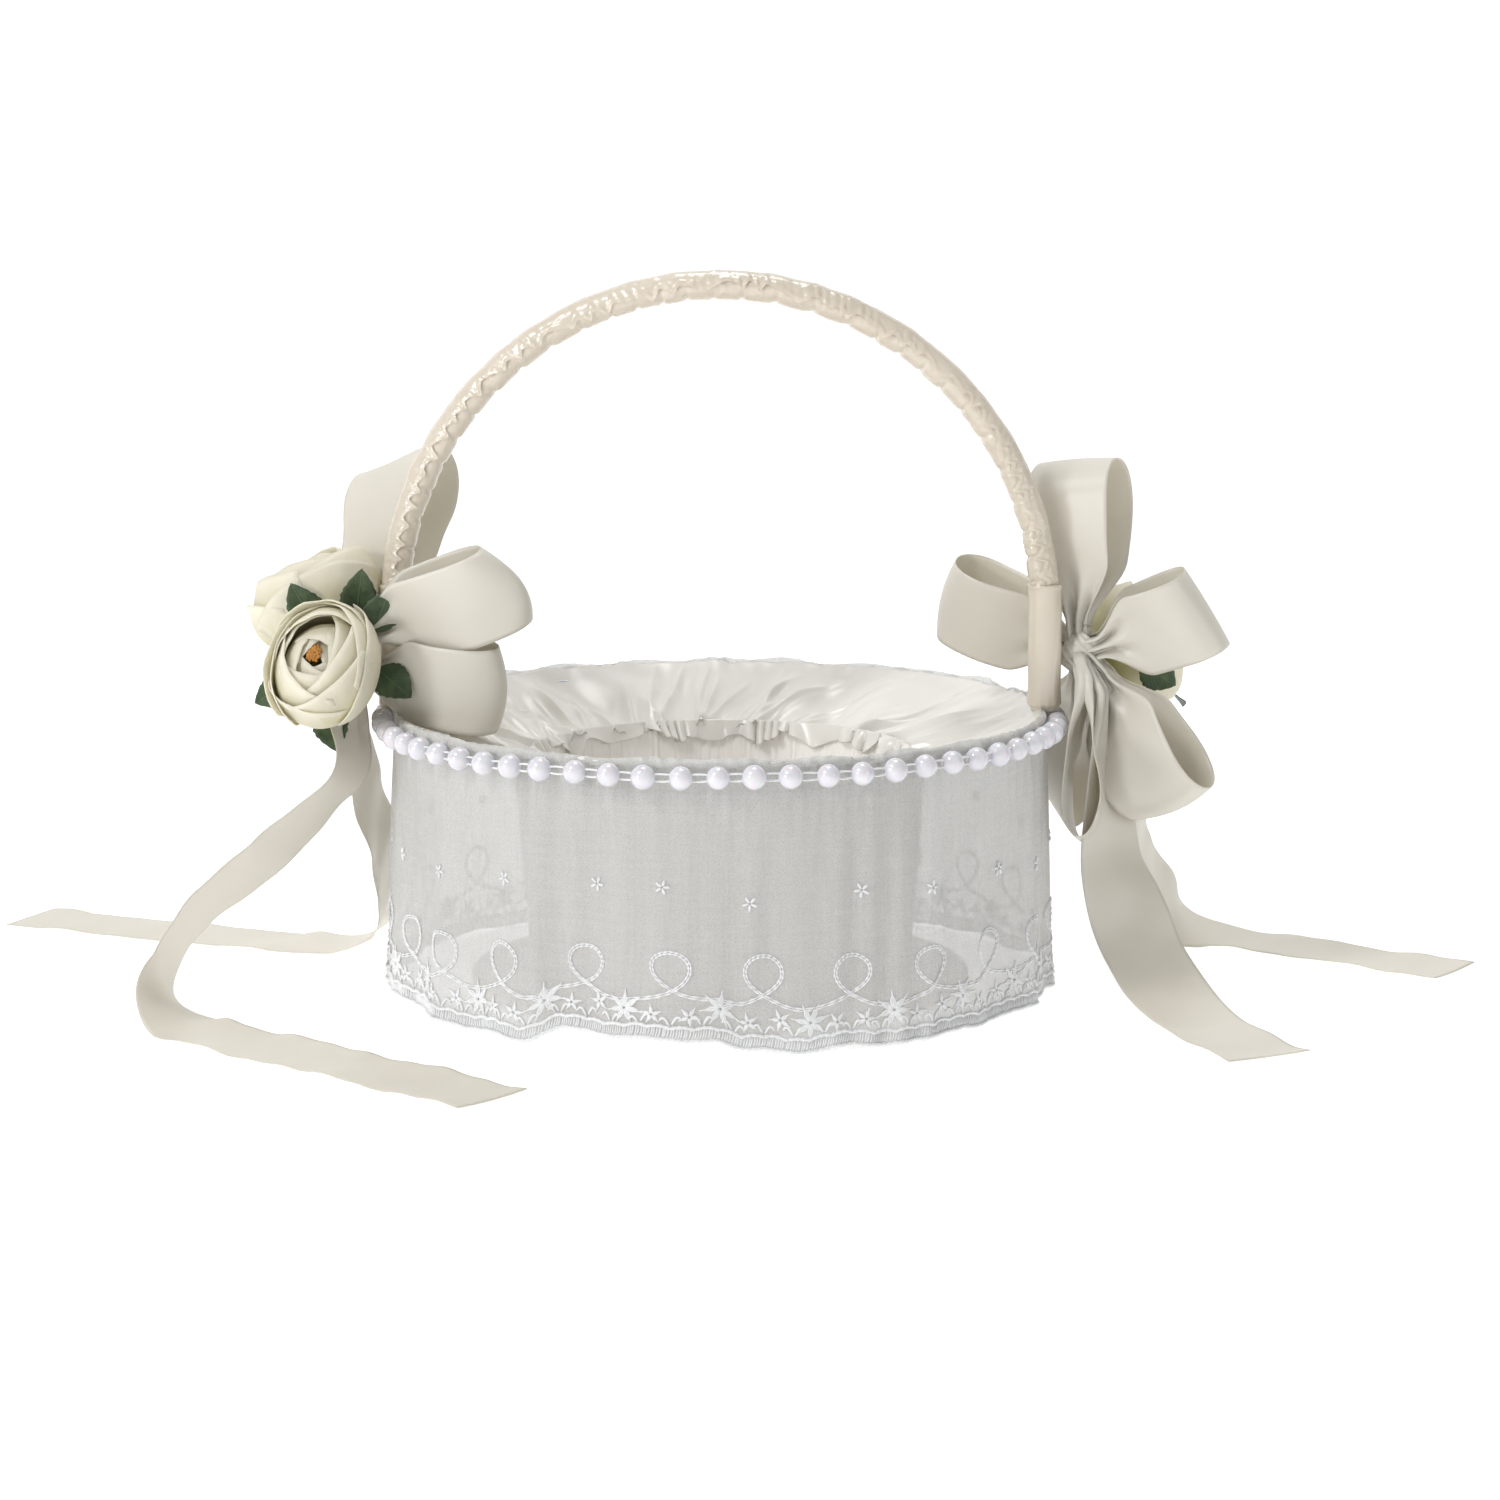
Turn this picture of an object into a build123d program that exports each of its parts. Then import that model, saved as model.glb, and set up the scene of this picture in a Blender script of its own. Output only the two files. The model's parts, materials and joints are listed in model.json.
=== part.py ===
from build123d import *
import math
import os

# Flower girl basket: a pleated satin tub inside a wide pearl-edged rim with a lace skirt, a fixed padded
# arch handle, and a satin ribbon bow with silk roses at each foot of the handle. All sizes in mm.
# The origin is the centre of the base's underside, +Z is up, +X runs towards the right handle foot.

# ---- driving dimensions -------------------------------------------------------------------------------
BASE_RADIUS = 72.0
BASE_THICKNESS = 3.0
GAP = 0.1                        # clearance between stacked soft layers

TUB_TOP_RADIUS = 57.6            # outside of the card tub at its mouth
TUB_BOTTOM_RADIUS = 53.4
TUB_WALL_THICKNESS = 2.0
TUB_TOP_Z = 62.8
COVER_THICKNESS = 1.3            # pleated satin over the outside of the tub
LINING_THICKNESS = 0.8
LINING_TOP_Z = 64.5
FLOOR_PAD_THICKNESS = 3.0

RIM_RING_RADIUS = 88.2
RIM_RING_WIRE = 1.4              # wire radii
RIM_RING_Z = 75.2
MOUTH_RING_RADIUS = 58.6
MOUTH_RING_WIRE = 1.2
MOUTH_RING_Z = 64.2
STRUT_COUNT = 8
STRUT_WIRE = 1.0

COLLAR_INNER_RADIUS = 55.6       # satin funnel from the rim down to the tub's mouth
COLLAR_OUTER_RADIUS = 92.7
COLLAR_INNER_Z = 65.4
COLLAR_TOP_Z = 79.5
COLLAR_THICKNESS = 1.0
COLLAR_LIP = 1.9
FRILL_INNER_RADIUS = 52.9
FRILL_OUTER_RADIUS = 54.2
FRILL_BOTTOM_Z = 61.0
FRILL_TOP_Z = 66.8

SKIRT_TOP_RADIUS = 92.9          # inside of the lace skirt
SKIRT_HEM_RADIUS = 93.9
SKIRT_THICKNESS = 0.6
SKIRT_TOP_Z = 79.0
HEM_EDGING_HEIGHT = 4.2
HEM_EDGING_THICKNESS = 0.6

PEARL_COUNT = 62
PEARL_RADIUS = 3.3
PEARL_RING_RADIUS = 96.9
PEARL_Z = 76.0
PEARL_HOLE_RADIUS = 0.9
THREAD_RADIUS = 0.25
THREAD_SPACING = 0.9             # between the two parallel threads

HANDLE_RADIUS = 93.5             # centreline of the arch
HANDLE_CENTRE_Z = 107.0
HANDLE_WIRE = 1.1
HANDLE_FOAM_RADIUS = 3.4
HANDLE_COVER_RADIUS = 4.7
HANDLE_BAND_RADIUS = 4.9
HANDLE_COVER_BORE = 3.5
BAND_BOTTOM_Z = 80.2
BAND_TOP_ANGLE = 4.9             # degrees up the arch from its springing
FOOT_WIRE_X = 91.0               # the core wire steps in to pass inside the skirt
FOOT_WIRE_BOTTOM_Z = 66.0
FOOT_STEP_LOW_Z = 78.5
FOOT_STEP_HIGH_Z = 93.0
LASHING_TURNS = 2
LASHING_WIRE = 0.25
LASHING_LENGTH = 6.4             # of one turn, across the two wires
LASHING_HEIGHT = 6.0
LASHING_PITCH = 0.6
LASHING_CENTRE_X = 89.4

RIBBON_WIDTH = 25.0
RIBBON_THICKNESS = 0.7
RIBBON_PINCHED = 7.0             # width where it is drawn into the knot
FLOOR_Z = 0.6                    # centre of a ribbon that lies on the floor
KNOT_SIZE = (9.0, 8.0, 12.0)
LEFT_KNOT = (-103.2, -7.0, 99.0)
RIGHT_KNOT = (103.2, 4.0, 95.0)

LEAF_LENGTH = 15.0
LEAF_WIDTH = 9.0
LEAF_THICKNESS = 0.6
STEM_RADIUS = 0.9


# ---- helpers ------------------------------------------------------------------------------------------
def ring_of(profile):
    """A solid of revolution about Z from points (radius, z)."""
    face = make_face(Polyline(*[(r, 0, z) for r, z in profile], close=True))
    return revolve(face, axis=Axis.Z)


def conical_shell(low, high, thickness):
    """A thin wall between two (inner radius, z) points, with level ends."""
    (r0, z0), (r1, z1) = low, high
    return ring_of([(r0, z0), (r0 + thickness, z0), (r1 + thickness, z1), (r1, z1)])


def rod(start, end, radius):
    """A straight round bar between two points."""
    line = Line(start, end)
    return sweep((line ^ 0) * Circle(radius), path=line)


def unit(v):
    return Vector(*v).normalized()


def ribbon_solid(stations):
    """A closed strip through stations (centre, across direction, width)."""
    count = len(stations)
    rows = []
    for i, (centre, across, width) in enumerate(stations):
        before = stations[max(i - 1, 0)][0]
        after = stations[min(i + 1, count - 1)][0]
        tangent = (after - before).normalized()
        side = (across - tangent * across.dot(tangent)).normalized()
        normal = tangent.cross(side).normalized() * (RIBBON_THICKNESS / 2)
        half = side * (width / 2)
        rows.append([centre - half - normal, centre + half - normal,
                     centre + half + normal, centre - half + normal])
    triangles = []
    for near, far in zip(rows, rows[1:]):
        for k in range(4):
            m = (k + 1) % 4
            triangles.append((near[k], near[m], far[m]))
            triangles.append((near[k], far[m], far[k]))
    for row in (rows[0], rows[-1]):
        triangles.append((row[0], row[1], row[2]))
        triangles.append((row[0], row[2], row[3]))
    faces = [Face(Wire.make_polygon(list(t), close=True)) for t in triangles]
    return Solid(Shell(faces))


def ribbon_loop(root, tip, across, opening, skew, steps=20):
    """A bow loop from its root at the knot out to its tip and back, a teardrop seen along its width.

    A skewed loop folds on a slant at its tip: its edge on the across side reaches further out.
    """
    root, tip = Vector(*root), Vector(*tip)
    out = (tip - root).normalized()
    length = (tip - root).length
    side = unit(across)
    side = (side - out * side.dot(out)).normalized()
    bulge = out.cross(side)
    stations = []
    for i in range(steps + 1):
        turn = 2 * math.pi * i / steps
        reach = (1 - math.cos(turn)) / 2
        swell = math.sin(turn) * reach / 0.65
        centre = root + out * (length * reach)
        centre += bulge * (opening / 2 * swell + math.cos(turn / 2))
        share = min(1.0, reach / 0.4)
        width = RIBBON_PINCHED + (RIBBON_WIDTH - RIBBON_PINCHED) * share * share * (3 - 2 * share)
        stations.append((centre, side + out * (skew * reach * reach), width))
    return ribbon_solid(stations)


def smooth(values, i, t):
    """Catmull-Rom value between values[i] and values[i + 1]."""
    p0 = values[max(i - 1, 0)]
    p1, p2 = values[i], values[i + 1]
    p3 = values[min(i + 2, len(values) - 1)]
    return (p1 * 2 + (p2 - p0) * t + (p0 * 2 - p1 * 5 + p2 * 4 - p3) * t * t
            + (p1 * 3 - p0 - p2 * 3 + p3) * t ** 3) * 0.5


def ribbon_tail(points, steps=3):
    """A hanging ribbon end through points (x, y, z, across x, y, z), flat where it lies on the floor."""
    centres = [Vector(*p[:3]) for p in points]
    sides = [unit(p[3:]) for p in points]
    stations = []
    for i in range(len(points) - 1):
        for k in range(steps):
            stations.append((smooth(centres, i, k / steps), smooth(sides, i, k / steps).normalized()))
    stations.append((centres[-1], sides[-1]))
    solids = []
    for n, (centre, side) in enumerate(stations):
        grow = min(1.0, n / (1.5 * steps))
        width = RIBBON_PINCHED + (RIBBON_WIDTH - RIBBON_PINCHED) * grow
        low = abs(side.Z) * width / 2 + FLOOR_Z
        solids.append((Vector(centre.X, centre.Y, max(centre.Z, low)), side, width))
    return ribbon_solid(solids)


def rose_at(centre, facing):
    """The plane a rose is built on: its middle, looking out along its face."""
    return Plane(origin=centre, z_dir=facing)


def petal_shell(radius, thickness, low_angle, high_angle, start, sweep_angle):
    """Part of a spherical shell: one cupped petal, from latitude low to high."""
    inner, outer = radius, radius + thickness
    low, high = math.radians(low_angle), math.radians(high_angle)
    mid = (low + high) / 2
    corner = [(r * math.cos(a), 0, r * math.sin(a)) for r, a in
              ((inner, low), (inner, mid), (inner, high), (outer, high), (outer, mid), (outer, low))]
    edges = [ThreePointArc(*corner[:3]), Line(corner[2], corner[3]),
             ThreePointArc(*corner[3:]), Line(corner[5], corner[0])]
    face = make_face(edges)
    return Rot(0, 0, start) * revolve(face, axis=Axis.Z, revolution_arc=sweep_angle)


def rose_petals(place, size):
    """Two rings of cupped petals round the bud, as separate solids."""
    petals = []
    for count, radius, low, high in ((5, size - 1.2, -70, 25), (4, size * 0.76, -50, 48)):
        for k in range(count):
            step = 360 / count
            petals.append(place * petal_shell(radius, 1.2, low, high, k * step + radius, step - 6))
    return petals


def leaf(base, tip, face_direction):
    """A pointed leaf blade from its stalk end to its tip."""
    base, tip = Vector(*base), Vector(*tip)
    along = (tip - base).normalized()
    normal = unit(face_direction)
    normal = (normal - along * normal.dot(along)).normalized()
    length = (tip - base).length
    rounding = LEAF_WIDTH / 2
    outline = [ThreePointArc((0, 0), (length * 0.45, rounding), (length, 0)),
               ThreePointArc((length, 0), (length * 0.45, -rounding), (0, 0))]
    blade = extrude(make_face(outline), amount=LEAF_THICKNESS)
    return Plane(origin=base, x_dir=along, z_dir=normal) * blade


def write(name, shape):
    """One STEP file for one named node."""
    solids = shape if isinstance(shape, list) else [shape]
    found = [s for item in solids for s in item.solids()]
    export_step(found[0] if len(found) == 1 else Compound(found), f"parts/{name}.step")


# ---- base and tub -------------------------------------------------------------------------------------
def base_board():
    return Pos(0, 0, BASE_THICKNESS / 2) * Cylinder(BASE_RADIUS, BASE_THICKNESS)


TUB_BOTTOM_Z = BASE_THICKNESS + GAP
TUB_INNER_TOP = TUB_TOP_RADIUS - TUB_WALL_THICKNESS
TUB_INNER_BOTTOM = TUB_BOTTOM_RADIUS - TUB_WALL_THICKNESS


def tub_wall():
    return conical_shell((TUB_INNER_BOTTOM, TUB_BOTTOM_Z), (TUB_INNER_TOP, TUB_TOP_Z), TUB_WALL_THICKNESS)


def tub_pleated_cover():
    return conical_shell((TUB_BOTTOM_RADIUS + GAP, TUB_BOTTOM_Z), (TUB_TOP_RADIUS + GAP, TUB_TOP_Z),
                         COVER_THICKNESS)


def tub_lining():
    low = (TUB_INNER_BOTTOM - GAP - LINING_THICKNESS, TUB_BOTTOM_Z)
    high = (TUB_INNER_TOP - GAP - LINING_THICKNESS, LINING_TOP_Z)
    return conical_shell(low, high, LINING_THICKNESS)


FLOOR_RADIUS = TUB_INNER_BOTTOM - GAP - LINING_THICKNESS - GAP


def floor_pad():
    middle = TUB_BOTTOM_Z + FLOOR_PAD_THICKNESS / 2
    return Pos(0, 0, middle) * Cylinder(FLOOR_RADIUS, FLOOR_PAD_THICKNESS)


def floor_lining():
    middle = TUB_BOTTOM_Z + FLOOR_PAD_THICKNESS + GAP + LINING_THICKNESS / 2
    return Pos(0, 0, middle) * Cylinder(FLOOR_RADIUS, LINING_THICKNESS)


# ---- wire frame under the rim -------------------------------------------------------------------------
def rim_ring():
    return Pos(0, 0, RIM_RING_Z) * Torus(RIM_RING_RADIUS, RIM_RING_WIRE)


def mouth_ring():
    return Pos(0, 0, MOUTH_RING_Z) * Torus(MOUTH_RING_RADIUS, MOUTH_RING_WIRE)


def frame_struts():
    inner = (MOUTH_RING_RADIUS + MOUTH_RING_WIRE + 0.4, 0, MOUTH_RING_Z + 0.1)
    outer = (RIM_RING_RADIUS - RIM_RING_WIRE - 0.4, 0, RIM_RING_Z - 0.6)
    strut = rod(inner, outer, STRUT_WIRE)
    step = 360 / STRUT_COUNT
    return [Rot(0, 0, step * (k + 0.5)) * strut for k in range(STRUT_COUNT)]


# ---- satin collar and lace skirt ----------------------------------------------------------------------
def satin_collar():
    half = COLLAR_THICKNESS / 2
    shoulder = COLLAR_OUTER_RADIUS - COLLAR_LIP
    funnel = ring_of([
        (COLLAR_INNER_RADIUS, COLLAR_INNER_Z - half),
        (shoulder, COLLAR_TOP_Z - COLLAR_THICKNESS),
        (COLLAR_OUTER_RADIUS, COLLAR_TOP_Z - 1.6),
        (COLLAR_OUTER_RADIUS, COLLAR_TOP_Z - 0.6),
        (shoulder, COLLAR_TOP_Z),
        (COLLAR_INNER_RADIUS, COLLAR_INNER_Z + half),
    ])
    slit = Cylinder(HANDLE_WIRE + 0.4, 20)
    for x in (-FOOT_WIRE_X, FOOT_WIRE_X):
        funnel -= Pos(x, 0, COLLAR_TOP_Z) * slit
    return funnel


def collar_frill():
    return conical_shell((FRILL_INNER_RADIUS, FRILL_BOTTOM_Z), (FRILL_INNER_RADIUS, FRILL_TOP_Z),
                         FRILL_OUTER_RADIUS - FRILL_INNER_RADIUS)


def lace_skirt():
    return conical_shell((SKIRT_HEM_RADIUS, 0), (SKIRT_TOP_RADIUS, SKIRT_TOP_Z), SKIRT_THICKNESS)


def skirt_hem_edging():
    low = 0.3
    inner = SKIRT_HEM_RADIUS + SKIRT_THICKNESS + GAP
    return conical_shell((inner, low), (inner, low + HEM_EDGING_HEIGHT), HEM_EDGING_THICKNESS)


# ---- pearl edging -------------------------------------------------------------------------------------
def rim_pearls():
    hole = Rot(90, 0, 0) * Cylinder(PEARL_HOLE_RADIUS, 3 * PEARL_RADIUS)
    pearl = Pos(PEARL_RING_RADIUS, 0, PEARL_Z) * (Sphere(PEARL_RADIUS) - hole)
    return [Rot(0, 0, (k + 0.5) * 360 / PEARL_COUNT) * pearl for k in range(PEARL_COUNT)]


def pearl_threads():
    return [Pos(0, 0, PEARL_Z + side * THREAD_SPACING / 2) * Torus(PEARL_RING_RADIUS, THREAD_RADIUS)
            for side in (-1, 1)]


# ---- handle -------------------------------------------------------------------------------------------
def arch_path(first, last):
    """The stretch of the handle's arch between two angles from its right springing, in degrees."""
    return Plane.XZ * CenterArc((0, HANDLE_CENTRE_Z), HANDLE_RADIUS, first, last - first)


def pipe(path, outer, inner=0.0):
    section = Circle(outer) if inner == 0 else Circle(outer) - Circle(inner)
    return sweep((path ^ 0) * section, path=path)


def leg_wire(side):
    """The core wire below the arch, with its small step in towards the rim ring."""
    return FilletPolyline(
        (side * HANDLE_RADIUS, 0, HANDLE_CENTRE_Z), (side * HANDLE_RADIUS, 0, FOOT_STEP_HIGH_Z),
        (side * FOOT_WIRE_X, 0, FOOT_STEP_LOW_Z), (side * FOOT_WIRE_X, 0, FOOT_WIRE_BOTTOM_Z),
        radius=10)


def handle_core_wire():
    wire = pipe(arch_path(0, 180), HANDLE_WIRE)
    for side in (-1, 1):
        wire += pipe(leg_wire(side), HANDLE_WIRE)
    return wire


def handle_foam():
    foam = pipe(arch_path(0, 180), HANDLE_FOAM_RADIUS, HANDLE_WIRE + GAP)
    for side in (-1, 1):
        leg_x = side * HANDLE_RADIUS
        leg = Line((leg_x, 0, HANDLE_CENTRE_Z), (leg_x, 0, FOOT_STEP_HIGH_Z + 1))
        foam += pipe(leg, HANDLE_FOAM_RADIUS, HANDLE_WIRE + GAP)
    return foam


def handle_satin_cover():
    first = BAND_TOP_ANGLE + 0.1
    return pipe(arch_path(first, 180 - first), HANDLE_COVER_RADIUS, HANDLE_COVER_BORE)


def handle_foot_band(side):
    first = 0 if side > 0 else 180 - BAND_TOP_ANGLE
    leg = Line((side * HANDLE_RADIUS, 0, BAND_BOTTOM_Z), (side * HANDLE_RADIUS, 0, HANDLE_CENTRE_Z))
    band = pipe(leg, HANDLE_BAND_RADIUS, HANDLE_COVER_BORE)
    return band + pipe(arch_path(first, first + BAND_TOP_ANGLE), HANDLE_BAND_RADIUS, HANDLE_COVER_BORE)


def foot_lashing(side):
    """Turns of binding wire laid diagonally round the leg wire and the rim ring where they cross."""
    turns = []
    for k in range(LASHING_TURNS):
        shift = (k - (LASHING_TURNS - 1) / 2) * LASHING_PITCH
        slot = SlotOverall(LASHING_LENGTH, LASHING_HEIGHT).faces()[0].outer_wire()
        slant = Plane(origin=(side * LASHING_CENTRE_X, 0, RIM_RING_Z), x_dir=(1, 0, 0), z_dir=(0, 1, 1))
        path = slant * Pos(0, 0, shift) * slot
        turns.append(sweep((path ^ 0) * Circle(LASHING_WIRE), path=path))
    return turns


# ---- ribbon bows --------------------------------------------------------------------------------------
def knot(place):
    block = Box(*KNOT_SIZE)
    return Pos(*place) * fillet(block.edges(), 2.5)


# name: root at the knot, tip, direction across the ribbon, opening between its two sides, skew at the tip
LOOPS = {
    "left_bow_top_loop": ((-101, 11, 102), (-91, 30, 147), (0.75, -0.50, 0.10), 17, 0.45),
    "left_bow_upper_loop": ((-101, -13.5, 103), (-60, -26, 118), (0.50, 0.15, -0.85), 12, 0.25),
    "left_bow_lower_loop": ((-100, -9.5, 91), (-63, -22, 88), (0.15, 0.10, -0.98), 12, 0.00),
    "right_bow_top_loop": ((103, 6, 102.5), (104, 15, 149), (0.85, -0.50, 0.10), 17, 0.00),
    "right_bow_inner_loop": ((101, 10.5, 96), (67, 25, 109), (0.33, 0.10, -0.94), 14, 0.00),
    "right_bow_outer_loop": ((109, 2, 97), (139, -3, 109), (0.35, 0.10, -0.93), 14, 0.20),
    "right_bow_lower_loop": ((110, 1, 88), (129, -13, 54), (0.75, -0.45, 0.50), 18, 0.15),
    "right_bow_hanging_loop": ((105, -4, 88), (104, -16, 44), (0.20, 0.98, 0.00), 9, 0.00),
    "right_bow_back_loop": ((105, 12, 89), (100, 37, 46), (-0.35, 0.94, 0.00), 9, 0.00),
}
# x, y, z, then the direction across the ribbon
TAILS = {
    "left_bow_front_tail": [
        (-106, -9, 91, 0.40, 0.92, 0.00), (-105, -14, 77, 0.30, 0.95, 0.00),
        (-107, -24, 62, 0.30, 0.95, -0.10), (-127, -33, 43, 0.29, 0.87, -0.39),
        (-146, -42, 28, 0.25, 0.92, -0.30), (-155, -50, 12, 0.15, 0.98, -0.12),
        (-149, -61, 2, 0.35, 0.93, 0.00), (-133, -76, 0.6, 0.60, 0.80, 0.00),
        (-108, -97, 0.6, 0.69, 0.72, 0.00), (-82, -119, 0.6, 0.69, 0.72, 0.00),
        (-57, -141, 0.6, 0.60, 0.80, 0.00)],
    "left_bow_back_tail": [
        (-104, -2, 90, 0.20, 0.98, 0.00), (-105, 4, 72, 0.15, 0.99, 0.00),
        (-103, 11, 53, 0.22, 0.96, -0.10), (-100, 20, 38, 0.20, 0.97, -0.10),
        (-99, 30, 23, 0.16, 0.98, -0.10), (-101, 38, 9, 0.12, 0.99, -0.05),
        (-111, 42, 1.5, 0.15, 0.99, 0.00), (-128, 45, 0.6, 0.28, 0.96, 0.00),
        (-156, 56, 0.6, 0.38, 0.92, 0.00), (-186, 69, 0.6, 0.38, 0.92, 0.00),
        (-216, 83, 0.6, 0.38, 0.92, 0.00)],
    "right_bow_front_tail": [
        (109, -5, 85, 0.40, 0.92, 0.00), (110, -9, 68, 0.45, 0.89, 0.00),
        (111, -13, 50, 0.62, 0.78, 0.00), (112, -16, 36, 0.78, 0.62, 0.00),
        (116, -19, 24, 0.90, 0.42, 0.00), (121, -23, 12, 0.96, 0.28, 0.00),
        (127, -32, 3, 0.98, 0.20, 0.00), (131, -48, 0.6, 0.95, 0.30, 0.00),
        (136, -69, 0.6, 0.85, 0.52, 0.00), (147, -97, 0.6, 0.70, 0.70, 0.00)],
    "right_bow_back_tail": [
        (109, 7, 84, 0.30, 0.95, 0.00), (113, 11, 64, 0.35, 0.93, 0.00),
        (119, 18, 44, 0.42, 0.88, -0.15), (126, 31, 28, 0.36, 0.92, -0.12),
        (133, 43, 16, 0.35, 0.93, -0.05), (140, 50, 6, 0.40, 0.91, 0.00),
        (152, 51, 1.2, 0.55, 0.83, 0.00), (168, 42, 0.6, 0.61, 0.79, 0.00),
        (191, 24, 0.6, 0.61, 0.79, 0.00), (215, 6, 0.6, 0.61, 0.79, 0.00)],
}

# ---- silk roses and leaves ----------------------------------------------------------------------------
# name: centre, direction it faces, petal radius
ROSES = {
    "left_front_rose": ((-110.5, -29, 95.5), (-0.22, -0.78, 0.56), 15.5),
    "left_back_rose": ((-115.5, 1, 110.5), (-0.45, 0.15, 0.88), 15.8),
    "right_upper_rose": ((121, 30, 92), (0.75, 0.45, 0.35), 15.0),
    "right_lower_rose": ((119, 44, 65), (0.55, 0.80, -0.10), 14.0),
}
# stalk end, tip, direction the blade faces
LEAVES = {
    "left_leaves": [
        ((-114, -11, 105), (-120, -18, 116), (-0.2, -0.9, 0.3)),
        ((-103, -12, 107), (-100.5, -20, 120), (0.1, -0.9, 0.3)),
        ((-98, -17, 104), (-92.5, -23, 115), (0.3, -0.9, 0.2)),
        ((-97, -16, 93), (-88, -22, 87), (0.2, -0.9, 0.2)),
        ((-119, -16, 90), (-130, -21, 85), (-0.3, -0.9, 0.1)),
        ((-111, -15, 82), (-109, -21, 72), (0.0, -0.9, -0.3))],
    "right_leaves": [
        ((106, 17, 106), (104, 15, 120), (-0.3, -0.9, 0.2)),
        ((119, 7, 100), (124, 4, 110), (0.3, -0.9, 0.2)),
        ((122, 11, 91), (131, 9, 85), (0.4, -0.9, -0.2)),
        ((128, 24, 106), (136, 26, 112), (0.5, -0.6, 0.6)),
        ((131, 42, 80), (139, 49, 74), (0.7, 0.5, -0.3))],
}
# stems reach from inside the knot towards the underside of each rose
STEMS = {
    "left_rose_stems": [((-108, -10, 98), (-109, -15, 93)), ((-107, -2, 103), (-112, -1, 100))],
    "right_rose_stems": [((108.5, 8, 94), (111, 20, 90)), ((109, 13, 80), (112, 33, 68))],
}


def rose_bud(place, size):
    """The closed heart of a rose: a round solid inside the petals."""
    return place * Sphere(size * 0.62)


def rose_centre(place, size):
    """The small button of stamens that stands on the bud."""
    return place * Pos(0, 0, size * 0.72) * Cylinder(size * 0.11, size * 0.1)


# ---- all nodes ----------------------------------------------------------------------------------------
def main():
    os.makedirs("parts", exist_ok=True)
    for make in (base_board, tub_wall, tub_pleated_cover, tub_lining, floor_pad, floor_lining,
                 rim_ring, mouth_ring, frame_struts, satin_collar, collar_frill, lace_skirt,
                 skirt_hem_edging, rim_pearls, pearl_threads, handle_core_wire, handle_foam,
                 handle_satin_cover):
        write(make.__name__, make())
    for name, side, place in (("left", -1, LEFT_KNOT), ("right", 1, RIGHT_KNOT)):
        write(f"{name}_foot_band", handle_foot_band(side))
        write(f"{name}_foot_lashing", foot_lashing(side))
        write(f"{name}_bow_knot", knot(place))
    for name, placing in LOOPS.items():
        write(name, ribbon_loop(*placing))
    for name, points in TAILS.items():
        write(name, ribbon_tail(points))
    for name, (centre, facing, size) in ROSES.items():
        place = rose_at(centre, facing)
        write(f"{name}_petals", rose_petals(place, size))
        write(f"{name}_bud", rose_bud(place, size))
        write(f"{name}_centre", rose_centre(place, size))
    for name, blades in LEAVES.items():
        write(name, [leaf(*blade) for blade in blades])
    for name, stems in STEMS.items():
        write(name, [rod(start, end, STEM_RADIUS) for start, end in stems])


main()
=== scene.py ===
import json
import math

import bpy
import numpy as np
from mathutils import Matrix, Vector


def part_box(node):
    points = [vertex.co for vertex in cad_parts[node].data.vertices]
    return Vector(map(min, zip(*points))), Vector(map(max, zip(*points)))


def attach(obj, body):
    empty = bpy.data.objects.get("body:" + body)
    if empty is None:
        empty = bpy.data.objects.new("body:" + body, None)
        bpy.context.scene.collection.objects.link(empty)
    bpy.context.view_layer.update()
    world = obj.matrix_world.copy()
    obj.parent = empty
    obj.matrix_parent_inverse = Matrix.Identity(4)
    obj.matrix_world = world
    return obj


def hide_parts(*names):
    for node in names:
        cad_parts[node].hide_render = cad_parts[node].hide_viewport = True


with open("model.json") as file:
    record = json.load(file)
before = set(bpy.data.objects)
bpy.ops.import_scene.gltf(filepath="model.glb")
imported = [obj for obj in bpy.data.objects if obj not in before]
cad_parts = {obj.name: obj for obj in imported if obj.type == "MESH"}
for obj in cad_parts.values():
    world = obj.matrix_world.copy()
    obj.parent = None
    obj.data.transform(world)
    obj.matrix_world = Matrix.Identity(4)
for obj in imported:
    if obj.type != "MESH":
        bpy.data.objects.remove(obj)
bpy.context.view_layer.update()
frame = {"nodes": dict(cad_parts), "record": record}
MM = 0.001
TAU = 2 * math.pi


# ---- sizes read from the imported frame, in mm ----
def span(node):
    """Lowest and highest corner of a CAD node, in mm."""
    low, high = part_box(node)
    return np.array(low) / MM, np.array(high) / MM


def outer_radius(node):
    return span(node)[1][0]


def levels(node):
    """Lowest and highest z of a CAD node, in mm."""
    low, high = span(node)
    return low[2], high[2]


SKIRT_TOP_Z = levels("lace_skirt")[1]
SKIRT_HEM_RADIUS = outer_radius("lace_skirt")
COLLAR_RADIUS = outer_radius("satin_collar")
COLLAR_LOW_Z, COLLAR_TOP_Z = levels("satin_collar")
MOUTH_RADIUS = outer_radius("collar_frill")
FRILL_LOW_Z, FRILL_TOP_Z = levels("collar_frill")
PEARL_LOW_Z, PEARL_TOP_Z = levels("rim_pearls")
PEARL_RADIUS = (PEARL_TOP_Z - PEARL_LOW_Z) / 2
PEARL_Z = (PEARL_TOP_Z + PEARL_LOW_Z) / 2
PEARL_RING_RADIUS = outer_radius("rim_pearls") - PEARL_RADIUS
HANDLE_TUBE = span("handle_satin_cover")[1][1]
HANDLE_RADIUS = outer_radius("handle_satin_cover") - HANDLE_TUBE
HANDLE_CENTRE_Z = levels("handle_satin_cover")[1] - HANDLE_TUBE - HANDLE_RADIUS
BAND_LOW_Z, BAND_TOP_Z = levels("right_foot_band")
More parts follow.
